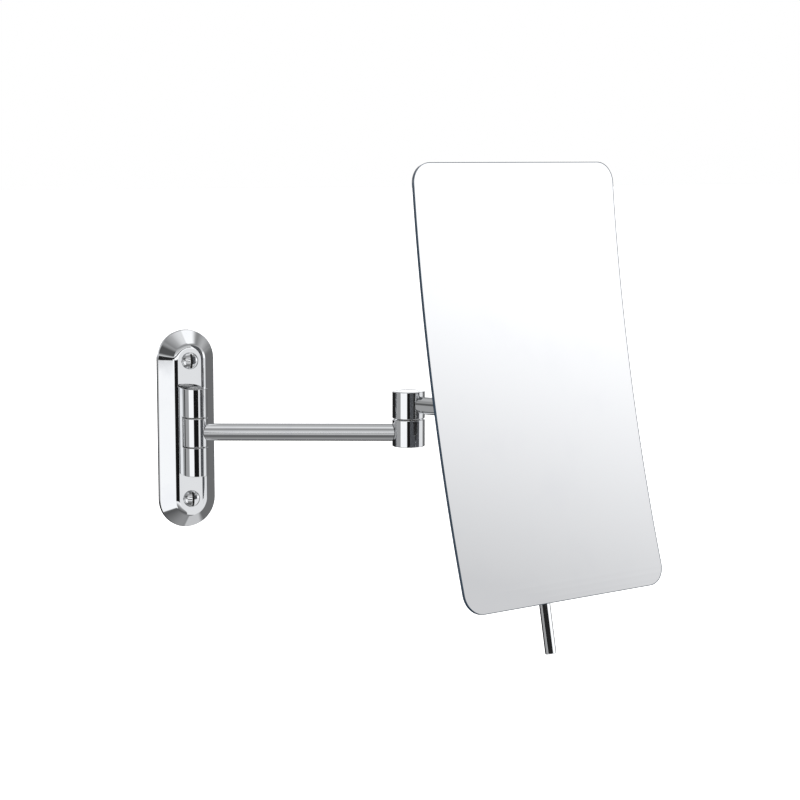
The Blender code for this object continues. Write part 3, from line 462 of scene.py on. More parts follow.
CHROME = surface("polished_chrome", wiped_group, 0.000004, 1.0, {
    "Patch_Size": 0.012, "Line_Width": 0.0005, "Smooth": 0.025, "Dull": 0.07,
    "Clean": (0.82, 0.83, 0.84, 1), "Marked": (0.79, 0.80, 0.82, 1)})
SILVER = surface("silvered_glass", wiped_group, 0.0000006, 1.0, {
    "Patch_Size": 0.03, "Line_Width": 0.002, "Smooth": 0.004, "Dull": 0.02,
    "Clean": (0.93, 0.935, 0.945, 1), "Marked": (0.915, 0.92, 0.935, 1)})
GLASS_EDGE = surface("ground_glass_edge", grain_group, 0.00001, 0.0, {
    "Grain_Size": 0.0003, "Cloud_Size": 0.006, "Smooth": 0.12, "Rough": 0.22,
    "Light": (0.030, 0.050, 0.075, 1), "Dark": (0.012, 0.024, 0.040, 1)},
    Coat_Weight=0.5, Coat_Roughness=0.05)
STEEL = surface("plated_steel", grain_group, 0.00002, 1.0, {
    "Grain_Size": 0.0004, "Cloud_Size": 0.008, "Smooth": 0.24, "Rough": 0.42,
    "Light": (0.66, 0.66, 0.65, 1), "Dark": (0.50, 0.50, 0.50, 1)})
NYLON = surface("natural_nylon", grain_group, 0.00002, 0.0, {
    "Grain_Size": 0.0005, "Cloud_Size": 0.004, "Smooth": 0.38, "Rough": 0.52,
    "Light": (0.82, 0.81, 0.76, 1), "Dark": (0.74, 0.73, 0.67, 1)},
    Subsurface_Weight=0.1)
PAINT = surface("back_paint", grain_group, 0.00003, 0.0, {
    "Grain_Size": 0.0009, "Cloud_Size": 0.03, "Smooth": 0.36, "Rough": 0.55,
    "Light": (0.078, 0.082, 0.090, 1), "Dark": (0.056, 0.060, 0.067, 1)})
FOAM = surface("adhesive_foam", grain_group, 0.0002, 0.0, {
    "Grain_Size": 0.0006, "Cloud_Size": 0.005, "Smooth": 0.75, "Rough": 0.95,
    "Light": (0.035, 0.035, 0.035, 1), "Dark": (0.015, 0.015, 0.015, 1)})
# Near-black finish for the wall screws' slots: old soap residue, and painted shade for the shadow
# down in each slot.
SLOT_SOAP_AND_SHADE = surface("slot_soap_and_painted_shade", grain_group, 0.00002, 0.6, {
    "Grain_Size": 0.0003, "Cloud_Size": 0.002, "Smooth": 0.45, "Rough": 0.65,
    "Light": (0.06, 0.06, 0.06, 1), "Dark": (0.02, 0.02, 0.02, 1)})
print("finishes:", ", ".join(m.name for m in bpy.data.materials if m.users))

# %% [markdown]
# ## Turning, carving and finishing
# Most of the pieces come off a lathe. A profile is a short list of corners, each with the
# radius of its broken edge, and a spin sweeps it round. The small arcs matter more than
# anything else here: on chrome a broken edge is a bright or dark line, and without it the
# piece looks cut from paper.

# %% Ease the corners of a profile
EASE_STEPS = 5
ROUND_STEPS = 96
HAIR = 1e-7


def eased(corners):
    """Corners (radius, height, ease) as profile points, eased corners being small arcs."""
    profile = []
    for index, (radius, height, ease) in enumerate(corners):
        here = Vector((radius, height))
        if not ease:
            profile.append(here)
            continue
        before = (Vector(corners[index - 1][:2]) - here).normalized()
        after = (Vector(corners[(index + 1) % len(corners)][:2]) - here).normalized()
        half = before.angle(after) / 2
        centre = here + (before + after).normalized() * (ease / math.sin(half))
        start = (here + before * (ease / math.tan(half)) - centre).normalized()
        stop = (here + after * (ease / math.tan(half)) - centre).normalized()
        profile += [centre + start.slerp(stop, step / EASE_STEPS) * ease
                    for step in range(EASE_STEPS + 1)]
    return profile


AXIS_TURN = {
    "Z": Matrix.Identity(4),
    "X": Matrix.Rotation(math.radians(90), 4, "Y"),
    "Y": Matrix.Rotation(math.radians(-90), 4, "X"),
}


def turned(corners, axis="Z", centre=(0, 0, 0), steps=ROUND_STEPS):
    """Spin a profile once round; one that leaves the axis at both ends becomes a ring."""
    bm = bmesh.new()
    points = eased(corners)
    verts = [bm.verts.new((point.x, 0, point.y)) for point in points]
    edges = [bm.edges.new(pair) for pair in zip(verts, verts[1:])]
    if corners[0][0] > 0:
        edges.append(bm.edges.new((verts[-1], verts[0])))
    bmesh.ops.spin(bm, geom=verts + edges, cent=(0, 0, 0), axis=(0, 0, 1),
                   angle=math.tau, steps=steps, use_merge=True)
    bmesh.ops.remove_doubles(bm, verts=bm.verts, dist=HAIR)
    bmesh.ops.recalc_face_normals(bm, faces=bm.faces)
    bm.transform(Matrix.Translation(centre) @ AXIS_TURN[axis])
    return bm


# %% [markdown]
# Flat stock is an outline that is extruded, and holes and slots are cut from it with a
# Boolean, just as a drill would. The result is baked at once, so that nothing is left for
# the next step to trip over.

# %% Flat stock and carving
PLACE_IN = {
    "X": lambda a, b, t: (t, a, b),
    "Y": lambda a, b, t: (a, t, b),
    "Z": lambda a, b, t: (a, b, t),
}


def arc(centre, radius, start, stop, steps):
    angles = [math.radians(start + (stop - start) * i / steps) for i in range(steps + 1)]
    return [(centre[0] + radius * math.cos(a), centre[1] + radius * math.sin(a))
            for a in angles]


def box(left, right, bottom, top):
    return [(left, bottom), (right, bottom), (right, top), (left, top)]


def hexagon(centre, radius):
    return arc(centre, radius, 0, 300, 5)


def slab(outline, low, high, axis="Y"):
    """Extrude a flat outline between two distances along an axis."""
    bm = bmesh.new()
    face = bm.faces.new([bm.verts.new(PLACE_IN[axis](a, b, low)) for a, b in outline])
    grown = bmesh.ops.extrude_face_region(bm, geom=[face])
    moved = [part for part in grown["geom"] if isinstance(part, bmesh.types.BMVert)]
    bmesh.ops.translate(bm, verts=moved, vec=PLACE_IN[axis](0, 0, high - low))
    bmesh.ops.recalc_face_normals(bm, faces=bm.faces)
    return bm


def scratch(bm):
    mesh = bpy.data.meshes.new("scratch")
    bm.to_mesh(mesh)
    bm.free()
    thing = bpy.data.objects.new("scratch", mesh)
    bpy.context.scene.collection.objects.link(thing)
    return thing


def carve(bm, *tools, operation="DIFFERENCE"):
    """Cut tools from a shape, or join them on, and give back the carved shape."""
    body = scratch(bm)
    cutters = [scratch(tool) for tool in tools]
    for cutter in cutters:
        change = body.modifiers.new("carve", "BOOLEAN")
        change.object = cutter
        change.operation = operation
        change.solver = "EXACT"
    bpy.context.view_layer.update()
    carved = bmesh.new()
    carved.from_object(body, bpy.context.evaluated_depsgraph_get())
    for thing in (body, *cutters):
        bpy.data.objects.remove(thing)
    bmesh.ops.dissolve_degenerate(carved, dist=HAIR, edges=carved.edges)
    return carved


DRILL_TURN = math.radians(1.4)   # keeps a drill's facets off those of round stock


def drill(radius, axis, centre, low, high, steps=48):
    bm = turned([(0, low, 0), (radius, low, 0), (radius, high, 0), (0, high, 0)], steps=steps)
    bm.transform(Matrix.Translation(centre) @ AXIS_TURN[axis]
                 @ Matrix.Rotation(DRILL_TURN, 4, "Z"))
    return bm


# %% [markdown]
# Every piece ends the same way: it moves from its bench to its place, becomes an object at
# the world's origin, is shaded smooth except over real corners, and is tied to the body
# that it rides on; it takes the name of the node that it stands for, hides that node and
# gets its slots of finish. Weighted normals keep the flats flat: without them the shading
# of a small arc bleeds across the whole face beside it, and a straight tube would look bent.

# %% Finish a piece
SHARP = math.radians(38)


def piece(name, bm, finish, body, at, bevel=0.0, extra=()):
    """Make one object from a bench shape, to stand for the frame node of that name."""
    bm.transform(at)
    mesh = bpy.data.meshes.new(f"{name}_fine")
    bm.to_mesh(mesh)
    bm.free()
    mesh.shade_smooth()
    mesh.set_sharp_from_angle(angle=SHARP)
    for material in (finish, *extra):
        mesh.materials.append(material)
    thing = bpy.data.objects.new(f"{name}_fine", mesh)
    bpy.context.scene.collection.objects.link(thing)
    if bevel:
        eased_edges = thing.modifiers.new("eased edges", "BEVEL")
        eased_edges.width = bevel
        eased_edges.segments = 3
        eased_edges.limit_method = "ANGLE"
        eased_edges.angle_limit = SHARP
        eased_edges.use_clamp_overlap = True
    flats = thing.modifiers.new("flats", "WEIGHTED_NORMAL")
    flats.keep_sharp = True
    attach(thing, body)
    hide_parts(name)
    print(name, len(mesh.polygons), "faces")
    return thing


# %% [markdown]
# ## Wall plate
# A pressed dish with half-round ends. On the real part a punch draws it from flat sheet, so
# the wall is the same thickness everywhere. Here the section is spun half round for the
# upper end, drawn straight down to the middle and mirrored. That keeps every loop parallel
# to the rim, which is what makes the reflections run cleanly round the ends.

# %% Spin a section round a long oval
GAP = 0.3 * MM


def oval(corners, straight):
    """Sweep a section (distance from the spine, depth) round a shape with round ends."""
    bm = bmesh.new()
    verts = [bm.verts.new((point.x, point.y, straight)) for point in eased(corners)]
    edges = [bm.edges.new(pair) for pair in zip(verts, verts[1:])]
    spun = bmesh.ops.spin(bm, geom=verts + edges, cent=(0, 0, straight), axis=(0, -1, 0),
                          angle=math.pi, steps=ROUND_STEPS // 2)
    last = [part for part in spun["geom_last"] if isinstance(part, bmesh.types.BMEdge)]
    drawn = bmesh.ops.extrude_edge_only(bm, edges=edges + last)
    moved = [part for part in drawn["geom"] if isinstance(part, bmesh.types.BMVert)]
    bmesh.ops.translate(bm, verts=moved, vec=(0, 0, -straight))
    bmesh.ops.remove_doubles(bm, verts=bm.verts, dist=HAIR)
    bmesh.ops.mirror(bm, geom=bm.verts[:] + bm.edges[:] + bm.faces[:],
                     matrix=Matrix.Identity(4), merge_dist=HAIR, axis="Z")
    bmesh.ops.remove_doubles(bm, verts=bm.verts, dist=HAIR)
    bmesh.ops.recalc_face_normals(bm, faces=bm.faces)
    return bm


# %% Plate, backing plate and their holes
PLATE_LIP = 1.6 * MM             # upright edge against the wall
PLATE_STEP = 2.5 * MM            # and where the steep part above it ends
PLATE_STEP_IN = 0.25 * MM
PLATE_WALL = 1.4 * MM
PLATE_FLAT = 8.5 * MM            # half the flat's width
PLATE_CROWN = 5.2 * MM           # round between flank and flat
BACKING = 1.5 * MM
BACKING_BOSS = 4.5 * MM
BACKING_EDGE = 0.2 * MM
SHANK = 2.3 * MM                 # wall screw
BRACKET_THREAD = 1.9 * MM
low, high = span("wall_plate", WALL)
plate_half, plate_rise = high.x, -low.y
spine = high.z - high.x
screw_levels = {name: middle_level(name) for name in ("upper_wall_screw", "lower_wall_screw")}
bracket_levels = {name: middle_level(name)
                  for name in ("upper_bracket_screw", "lower_bracket_screw")}
step_half = plate_half - PLATE_STEP_IN
flank = math.atan2(plate_rise - PLATE_STEP, step_half - PLATE_FLAT)
inner_rim = step_half - PLATE_WALL / math.sin(flank)
inner_flat = inner_rim - (plate_rise - PLATE_WALL - PLATE_STEP) / math.tan(flank)
section = [
    (0, -plate_rise, 0),
    (PLATE_FLAT, -plate_rise, PLATE_CROWN),
    (step_half, -PLATE_STEP, 0.3 * MM),
    (plate_half, -PLATE_LIP, 0.2 * MM),
    (plate_half, 0, 0.05 * MM),
    (plate_half - PLATE_WALL, 0, 0.15 * MM),
    (inner_rim, -PLATE_STEP, 0.3 * MM),
    (inner_flat, -(plate_rise - PLATE_WALL), 0.5 * MM),
    (0, -(plate_rise - PLATE_WALL), 0),
]


def holes(levels, radius):
    """Drills for screws, right through the plate, one at each level."""
    return [drill(radius + GAP, "Y", (0, 0, level), -2 * plate_rise, MM)
            for level in levels.values()]


plate = carve(oval(section, spine), *holes(screw_levels, SHANK),
              *holes(bracket_levels, BRACKET_THREAD))
piece("wall_plate", plate, CHROME, "wall_mount", WALL)

low, high = span("backing_plate", WALL)
backing = oval([(0, -BACKING, 0), (high.x, -BACKING, BACKING_EDGE),
                (high.x, 0, BACKING_EDGE), (0, 0, 0)], high.z - high.x)
bosses = [turned([(0, low.y, 0), (BACKING_BOSS, low.y, BACKING_EDGE),
                  (BACKING_BOSS, -BACKING / 2, 0), (0, -BACKING / 2, 0)],
                 "Y", (0, 0, level)) for level in screw_levels.values()]
backing = carve(carve(backing, *bosses, operation="UNION"), *holes(screw_levels, SHANK))
piece("backing_plate", backing, STEEL, "wall_mount", WALL)

# %% [markdown]
# ## Wall screws
# Slotted round-head wood screws, the oldest detail on the piece and one that catches the
# eye. The thread behind the wall is real geometry: a tooth is spun with a rise per step,
# which leaves a helical band whose turns meet edge to edge. Two flat cuts trim it to
# length.


# %% Cut a thread
def threaded(root, crest, pitch, low, high, point=0.0, steps=32):
    """A threaded rod along Z, with an optional tapered point at its high end."""
    turns = math.ceil((high - low) / pitch) + 3
    start = low - 1.5 * pitch
    tooth = ((root, 0.0), (root, 0.40), (crest, 0.66), (crest, 0.74), (root, 1.0))
    bm = bmesh.new()
    verts = [bm.verts.new((radius, 0, start + share * pitch)) for radius, share in tooth]
    edges = [bm.edges.new(pair) for pair in zip(verts, verts[1:])]
    bmesh.ops.spin(bm, geom=verts + edges, cent=(0, 0, 0), dvec=(0, 0, pitch / steps),
                   axis=(0, 0, 1), angle=math.tau * turns, steps=steps * turns)
    bmesh.ops.remove_doubles(bm, verts=bm.verts, dist=HAIR)
    for level, way_out in ((low, -1), (high, 1)):
        bmesh.ops.bisect_plane(bm, geom=bm.verts[:] + bm.edges[:] + bm.faces[:], dist=HAIR,
                               plane_co=(0, 0, level), plane_no=(0, 0, way_out),
                               clear_outer=True)
    bmesh.ops.holes_fill(bm, edges=[e for e in bm.edges if e.is_boundary], sides=0)
    for vert in bm.verts:
        past = max(0.0, vert.co.z - (high - point))
        if past:
            vert.co.xy *= 1 - 0.9 * past / point
    bmesh.ops.recalc_face_normals(bm, faces=bm.faces)
    return bm


def with_thread(blank, axis, centre, *sizes, **more):
    """Join a thread, sized as above, to a blank along an axis through a centre."""
    thread = threaded(*sizes, **more)
    thread.transform(Matrix.Translation(centre) @ AXIS_TURN[axis])
    return carve(blank, thread, operation="UNION")


# %% Wall screws
WOOD_PITCH = 1.8 * MM
WOOD_POINT = 5 * MM
WOOD_ROOT = 0.74                 # root of the thread as a share of the shank
SHANK_END = 11 * MM              # where the plain shank ends and the thread starts
SLOT_HALF = 0.65 * MM
SLOT_DEPTH = 1.3 * MM
for name, level in screw_levels.items():
    low, high = span(name, WALL)
    head = high.x
    seat = -(plate_rise + GAP)
    dome = [(head * math.sin(a), low.y + (seat - low.y) * 0.9 * (1 - math.cos(a)), 0)
            for a in (math.pi / 2 * i / 16 for i in range(17))]
    blank = turned(dome + [(head, seat, 0.12 * MM), (SHANK, seat, 0.2 * MM),
                           (SHANK, SHANK_END, 0.3 * MM), (0, SHANK_END, 0)],
                   "Y", (0, 0, level))
    slot = slab(box(-SLOT_HALF, SLOT_HALF, level - 2 * head, level + 2 * head),
                low.y - MM, low.y + SLOT_DEPTH)
    screw = with_thread(carve(blank, slot), "Y", (0, 0, level), WOOD_ROOT * SHANK, SHANK,
                        WOOD_PITCH, SHANK_END - 0.6 * MM, high.y - 0.05 * MM, WOOD_POINT)
    # Faces down in the slot take the second, near-black finish: soap residue, and painted shade
    # where the slot lies in shadow.
    floor_level = low.y + SLOT_DEPTH + HAIR
    for face in screw.faces:
        middle = face.calc_center_median()
        if abs(middle.x) < SLOT_HALF + HAIR and middle.y < floor_level:
            face.material_index = 1
    piece(name, screw, CHROME, "wall_mount", WALL, extra=(SLOT_SOAP_AND_SHADE,))

# %% [markdown]
# ## Wall hinge
# The bracket is one block behind two barrels, hollowed in the middle for the arm's own
# barrel. It is sawn from bar, so its sides are flat and its front is round. A pin with a
# slotted head drops through all three barrels, and nylon washers keep them from grinding.

# %% Hinge bracket
SEAM = 0.5 * MM
BASE_BEHIND = 3.4 * MM           # from the hinge's axis back to the bracket's base
BRACKET_SINK = 4.1 * MM          # depth of the tapped holes in its back
PIN = 3.0 * MM
PIN_HEAD = 4.3 * MM
PIN_HEAD_LENGTH = 2.0 * MM
HEAD_FLOOR = 2.4 * MM
low, high = span("hinge_bracket", WALL)
axis_y = joint_point("arm_swing").y
block_half, block_top, block_back = high.x, high.z, high.y
knuckle_low, knuckle_high = span("inner_arm_knuckle", HINGE)
opening = knuckle_high.z + SEAM
hollow = block_half + GAP
base_front = axis_y + BASE_BEHIND
outline = [(-block_half, block_back), (-block_half, axis_y)]
outline += arc((0, axis_y), block_half, 180, 360, 64)[1:]
outline += [(block_half, block_back)]
start = math.degrees(math.asin((base_front - axis_y) / hollow))
mouth = [(2 * block_half, base_front)]
mouth += arc((0, axis_y), hollow, start, 180 - start, 64)
mouth += [(-2 * block_half, base_front), (-2 * block_half, axis_y - 2 * block_half),
          (2 * block_half, axis_y - 2 * block_half)]
bore = [(0, -2 * block_top, 0), (PIN_HEAD + GAP, -2 * block_top, 0),
        (PIN_HEAD + GAP, HEAD_FLOOR - block_top, 0), (PIN + GAP, HEAD_FLOOR - block_top, 0),
        (PIN + GAP, block_top - HEAD_FLOOR, 0), (PIN_HEAD + GAP, block_top - HEAD_FLOOR, 0),
        (PIN_HEAD + GAP, 2 * block_top, 0), (0, 2 * block_top, 0)]
screw_holes = [drill(BRACKET_THREAD + GAP, "Y", (0, 0, level), block_back - BRACKET_SINK,
                     block_back + MM) for level in bracket_levels.values()]
bracket = carve(slab(outline, -block_top, block_top, "Z"), slab(mouth, -opening, opening, "Z"),
                turned(bore, "Z", (0, axis_y, 0)), *screw_holes)
piece("hinge_bracket", bracket, CHROME, "wall_mount", WALL, bevel=0.28 * MM)

# %% Hinge pin, nut, washers and bush
low, high = span("hinge_pin", HINGE)
head_seat = high.z - PIN_HEAD_LENGTH
pin = turned([(0, low.z, 0), (PIN, low.z, 0.3 * MM), (PIN, head_seat, 0),
              (PIN_HEAD, head_seat, 0.15 * MM), (PIN_HEAD, high.z, 0.3 * MM),
              (0, high.z, 0)])
slot = slab(box(-2 * PIN_HEAD, 2 * PIN_HEAD, -SLOT_HALF, SLOT_HALF),
            high.z - 0.7 * SLOT_DEPTH, high.z + MM, "Z")
piece("hinge_pin", carve(pin, slot), STEEL, "wall_mount", HINGE)


def ring(node, at, bore, ease=0.12 * MM, axis="Z"):
    """A washer, bush or plain nut as a turned ring of its node's own size."""
    low, high = span(node, at)
    number = "XYZ".index(axis)
    bottom, top = low[number], high[number]
    across = (number + 1) % 3
    outer = (high[across] - low[across]) / 2
    middle = (low + high) / 2
    middle[number] = 0
    return turned([(bore, bottom, ease), (outer, bottom, ease), (outer, top, ease),
                   (bore, top, ease)], axis, middle, 64)


piece("hinge_nut", ring("hinge_nut", HINGE, PIN + 0.05 * MM), STEEL, "wall_mount", HINGE)
for name in ("upper_hinge_washer", "lower_hinge_washer"):
    piece(name, ring(name, HINGE, PIN + GAP), NYLON, "wall_mount", HINGE)
piece("hinge_bush", ring("hinge_bush", HINGE, PIN + GAP), NYLON, "inner_arm", HINGE)

# %% Bracket screws
BRACKET_HEAD_LENGTH = 2.6 * MM
BRACKET_CORE = 1.5 * MM
BRACKET_PITCH = 0.7 * MM
for name, level in bracket_levels.items():
    low, high = span(name, WALL)
    head_low = high.y - BRACKET_HEAD_LENGTH
    blank = turned([(0, head_low - MM, 0), (BRACKET_CORE, head_low - MM, 0),
                    (BRACKET_CORE, head_low, 0), (high.x, head_low, 0.15 * MM),
                    (high.x, high.y, 0.9 * MM), (0, high.y, 0)], "Y", (0, 0, level), 48)
    screw = with_thread(blank, "Y", (0, 0, level), BRACKET_CORE - 0.05 * MM, BRACKET_THREAD,
                        BRACKET_PITCH, low.y, head_low - 0.4 * MM, steps=24)
    piece(name, screw, STEEL, "wall_mount", WALL)

# %% [markdown]
# ## Arm tubes
# Each tube is filed to a fish mouth where it meets a barrel, so that it closes on the
# round with an even hair of shadow. A file follows the barrel, and so does this: the end
# ring of a plain tube is simply moved onto the barrel's cylinder, point by point.


# %% Tubes with fish-mouthed ends
def barrel_radius(node, at):
    low, high = span(node, at)
    return (high.y - low.y) / 2


TUBE_WALL = 1.0 * MM
TUBE_JOINT = 0.16 * MM           # hair of shadow between tube and barrel


def arm_tube(name, body, at, near_radius, far, far_radius):
    """Tube along X from the barrel at 0 to the barrel at far, both ends fish-mouthed."""
    low, high = span(name, at)
    radius = (high.z - low.z) / 2
    middle = (high.z + low.z) / 2
    tube = turned([(radius, 0, 0), (radius, far, 0), (radius - TUBE_WALL, far, 0),
                   (radius - TUBE_WALL, 0, 0)], "X", (0, 0, middle), 128)
    for vert in tube.verts:
        x, y = vert.co.x, vert.co.y
        if x < far / 2:
            vert.co.x = math.sqrt((near_radius + TUBE_JOINT) ** 2 - y * y)
        else:
            vert.co.x = far - math.sqrt((far_radius + TUBE_JOINT) ** 2 - y * y)
    piece(name, tube, CHROME, body, at)


knuckle_radius = knuckle_high.y
elbow_radius = barrel_radius("elbow_lower_barrel", ELBOW_ON_ARM)
swivel_radius = barrel_radius("swivel_lower_barrel", OUTER_END)
inner_length = (to_elbow * Vector((1, 1, 0))).length
outer_length = (to_swivel * Vector((1, 1, 0))).length
arm_tube("inner_arm_tube", "inner_arm", HINGE, knuckle_radius, inner_length, elbow_radius)
arm_tube("outer_arm_tube", "outer_arm", ELBOW, elbow_radius, outer_length, swivel_radius)

# %% [markdown]
# ## Barrels and caps
# The elbow and the swivel are the same joint twice: a lower barrel that holds the bolt's
# head, an upper one that holds its nut, and a pressed cap over each. All four barrels are
# turned, with a generous broken edge at the seam so that the two read as separate pieces.

# %% Plug, barrel and cap
BARREL_EDGE = 0.45 * MM
BOLT = 3.1 * MM
WASHER_BORE = 6.5 * MM
WASHER_SINK = 0.6 * MM
HEAD_ROOM = 5.3 * MM             # counterbore below, for the cap and the bolt's head
NUT_ROOM = 6.0 * MM              # counterbore above, for the cap, nut and spring washer
CAP_EDGE = 0.25 * MM
PLUG_LENGTH = 8.0 * MM
PLUG_ROOT = 0.4 * MM             # how far a plug starts outside the counterbore
CAP_FIT = 0.12 * MM


def plug(radius, root, middle, side, tube_radius):
    """Round plug on a barrel's side, which fills the end of a tube."""
    size = tube_radius - TUBE_WALL - GAP
    ends = sorted((side * root, side * (radius + PLUG_LENGTH)))
    return turned([(0, ends[0], 0), (size, ends[0], 0.3 * MM), (size, ends[1], 0.3 * MM),
                   (0, ends[1], 0)], "X", (0, 0, middle), 64)


def barrel(seam, outside, radius, counter, depth):
    """Barrel with a bolt hole, a washer recess at the seam and a counterbore outside."""
    inward = math.copysign(1, outside - seam)
    seat = outside - inward * depth
    return turned([
        (BOLT + GAP, seat, 0), (counter, seat, 0), (counter, outside, CAP_EDGE),
        (radius, outside, BARREL_EDGE), (radius, seam, BARREL_EDGE),
        (WASHER_BORE, seam, 0.1 * MM), (WASHER_BORE, seam + inward * WASHER_SINK, 0),
        (BOLT + GAP, seam + inward * WASHER_SINK, 0)])


def cap(node, body, at):
    """Pressed cap, flush in its counterbore, with a shallow turned dish in its face."""
    low, high = span(node, at)
    radius = (high.x - low.x) / 2
    upper = "top" in node
    face, back = (high.z, low.z) if upper else (low.z, high.z)
    inward = -1 if upper else 1
    corners = [(0, face + inward * 0.12 * MM, 0),
               (0.82 * radius, face + inward * 0.12 * MM, 0.3 * MM),
               (0.86 * radius, face, 0.3 * MM), (radius, face, CAP_EDGE),
               (radius, back, 0.1 * MM), (0, back, 0)]
    piece(node, turned(corners), CHROME, body, at)


tube_low, tube_high = span("inner_arm_tube", HINGE)
tube_radius = (tube_high.z - tube_low.z) / 2
for prefix, lower_at, lower_body, upper_at, upper_body in (
        ("elbow", ELBOW_ON_ARM, "inner_arm", ELBOW, "outer_arm"),
        ("swivel", OUTER_END, "outer_arm", SWIVEL, "swivel_head")):
    cap_low, cap_high = span(f"{prefix}_top_cap", upper_at)
    counter = (cap_high.x - cap_low.x) / 2 + CAP_FIT
    name = f"{prefix}_lower_barrel"
    low, high = span(name, lower_at)
    radius = barrel_radius(name, lower_at)
    shape = carve(barrel(high.z, low.z, radius, counter, HEAD_ROOM),
                  plug(radius, counter + PLUG_ROOT, (low.z + high.z) / 2, -1, tube_radius),
                  operation="UNION")
    piece(name, shape, CHROME, lower_body, lower_at)
    cap(f"{prefix}_bottom_cap", lower_body, lower_at)
    cap(f"{prefix}_top_cap", upper_body, upper_at)

low, high = span("elbow_upper_barrel", ELBOW)
radius = barrel_radius("elbow_upper_barrel", ELBOW)
shape = carve(barrel(low.z, high.z, radius, counter, NUT_ROOM),
              plug(radius, counter + PLUG_ROOT, (low.z + high.z) / 2, 1, tube_radius),
              operation="UNION")
piece("elbow_upper_barrel", shape, CHROME, "outer_arm", ELBOW)

# %% The arm's knuckle at the wall
WASHER_SEAT = 5.0 * MM
BUSH_SEAT = 4.6 * MM
SEAT_SINK = 0.7 * MM
top, bottom = knuckle_high.z, knuckle_low.z
knuckle = turned([
    (BUSH_SEAT, bottom + SEAT_SINK, 0), (WASHER_SEAT, bottom + SEAT_SINK, 0),
    (WASHER_SEAT, bottom, 0.1 * MM), (knuckle_radius, bottom, 0.35 * MM),
    (knuckle_radius, top, 0.35 * MM), (WASHER_SEAT, top, 0.1 * MM),
    (WASHER_SEAT, top - SEAT_SINK, 0), (BUSH_SEAT, top - SEAT_SINK, 0)])
knuckle = carve(knuckle, plug(knuckle_radius, WASHER_SEAT + PLUG_ROOT, 0, 1, tube_radius),
                operation="UNION")
piece("inner_arm_knuckle", knuckle, CHROME, "inner_arm", HINGE)

# %% Swivel head with its tongue
tilt_reach = (joint_point("mirror_tilt") - joint_point("mirror_swivel")) * Vector((1, 1, 0))
reach = tilt_reach.length
TONGUE_HALF = 5.2 * MM
TONGUE_ROUND = 6.0 * MM
TILT_PIN = 2.5 * MM
TONGUE_EDGE = 0.4 * MM
upper_low = span("swivel_lower_barrel", OUTER_END)[1].z + SEAM
upper_high = span("swivel_top_cap", SWIVEL)[1].z
middle = (upper_low + upper_high) / 2
root = -(counter + PLUG_ROOT)
tongue = [(root, middle + TONGUE_ROUND), (-reach, middle + TONGUE_ROUND)]
tongue += arc((-reach, middle), TONGUE_ROUND, 90, 270, 40)[1:]
tongue += [(root, middle - TONGUE_ROUND)]
print("tongue reaches", round(reach / MM, 2), "mm")

# %% [markdown]
# The tongue is sawn bar silver-soldered to the barrel, so its long edges are broken before
# it is joined on, and the pin's hole is drilled last.

# %% Join the tongue to the barrel
blade = slab(tongue, -TONGUE_HALF, TONGUE_HALF, "X")
rim = [e for e in blade.edges if e.calc_face_angle(0) > math.radians(60)
       and min(v.co.y for v in e.verts) < root - 0.5 * MM]
bmesh.ops.bevel(blade, geom=rim, offset=TONGUE_EDGE, offset_type="OFFSET", segments=3,
                profile=0.5, affect="EDGES", clamp_overlap=True, material=-1)
radius = barrel_radius("swivel_lower_barrel", OUTER_END)
shape = carve(barrel(upper_low, upper_high, radius, counter, NUT_ROOM), blade,
              operation="UNION")
shape = carve(shape, drill(TILT_PIN + GAP, "X", (0, -reach, middle), -2 * TONGUE_HALF,
                           2 * TONGUE_HALF))
piece("swivel_upper_barrel", shape, CHROME, "swivel_head", SWIVEL)

# %% [markdown]
# ## Inside the joints
# A bolt with a socket head holds each pair of barrels, and a nylon washer and a split
# spring washer give it the drag that lets the mirror stay where it is put. The caps hide
# all of this, but it is there when the joint is taken apart.

# %% Bolts, nuts and washers
BOLT_HEAD = 3.3 * MM
BOLT_PITCH = 0.9 * MM
BOLT_THREAD_RUN = 2.4 * MM       # thread below the nut
SOCKET = 2.4 * MM
SOCKET_DEPTH = 1.8 * MM
for prefix, at, body in (("elbow", ELBOW_ON_ARM, "inner_arm"), ("swivel", OUTER_END, "outer_arm")):
    low, high = span(f"{prefix}_bolt", at)
    head = (high.x - low.x) / 2
    nut_low, nut_high = span(f"{prefix}_nut", at)
    blank = turned([(0, low.z, 0), (head, low.z, 0.3 * MM), (head, low.z + BOLT_HEAD, 0.15 * MM),
                    (BOLT, low.z + BOLT_HEAD, 0), (BOLT, nut_low.z - 2 * MM, 0.2 * MM),
                    (0, nut_low.z - 2 * MM, 0)])
    socket = slab(hexagon((0, 0), SOCKET), low.z - MM, low.z + SOCKET_DEPTH, "Z")
    bolt = with_thread(carve(blank, socket), "Z", (0, 0, 0), 0.86 * BOLT, BOLT, BOLT_PITCH,
                       nut_low.z - BOLT_THREAD_RUN, high.z, steps=24)
    piece(f"{prefix}_bolt", bolt, STEEL, body, at)
    nut = slab(hexagon((0, 0), (nut_high.x - nut_low.x) / 2), nut_low.z, nut_high.z, "Z")
    piece(f"{prefix}_nut", carve(nut, drill(BOLT + 0.05 * MM, "Z", (0, 0, 0), low.z, high.z + MM)),
          STEEL, body, at, bevel=0.25 * MM)
    piece(f"{prefix}_friction_washer", ring(f"{prefix}_friction_washer", at, BOLT + GAP),
          NYLON, body, at)
    split = ring(f"{prefix}_spring_washer", at, BOLT + GAP)
    gap_cut = slab([(0, -0.3 * MM), (2 * head, -0.5 * MM), (2 * head, 0.5 * MM), (0, 0.3 * MM)],
                   low.z, high.z, "Z")
    piece(f"{prefix}_spring_washer", carve(split, gap_cut), STEEL, body, at)

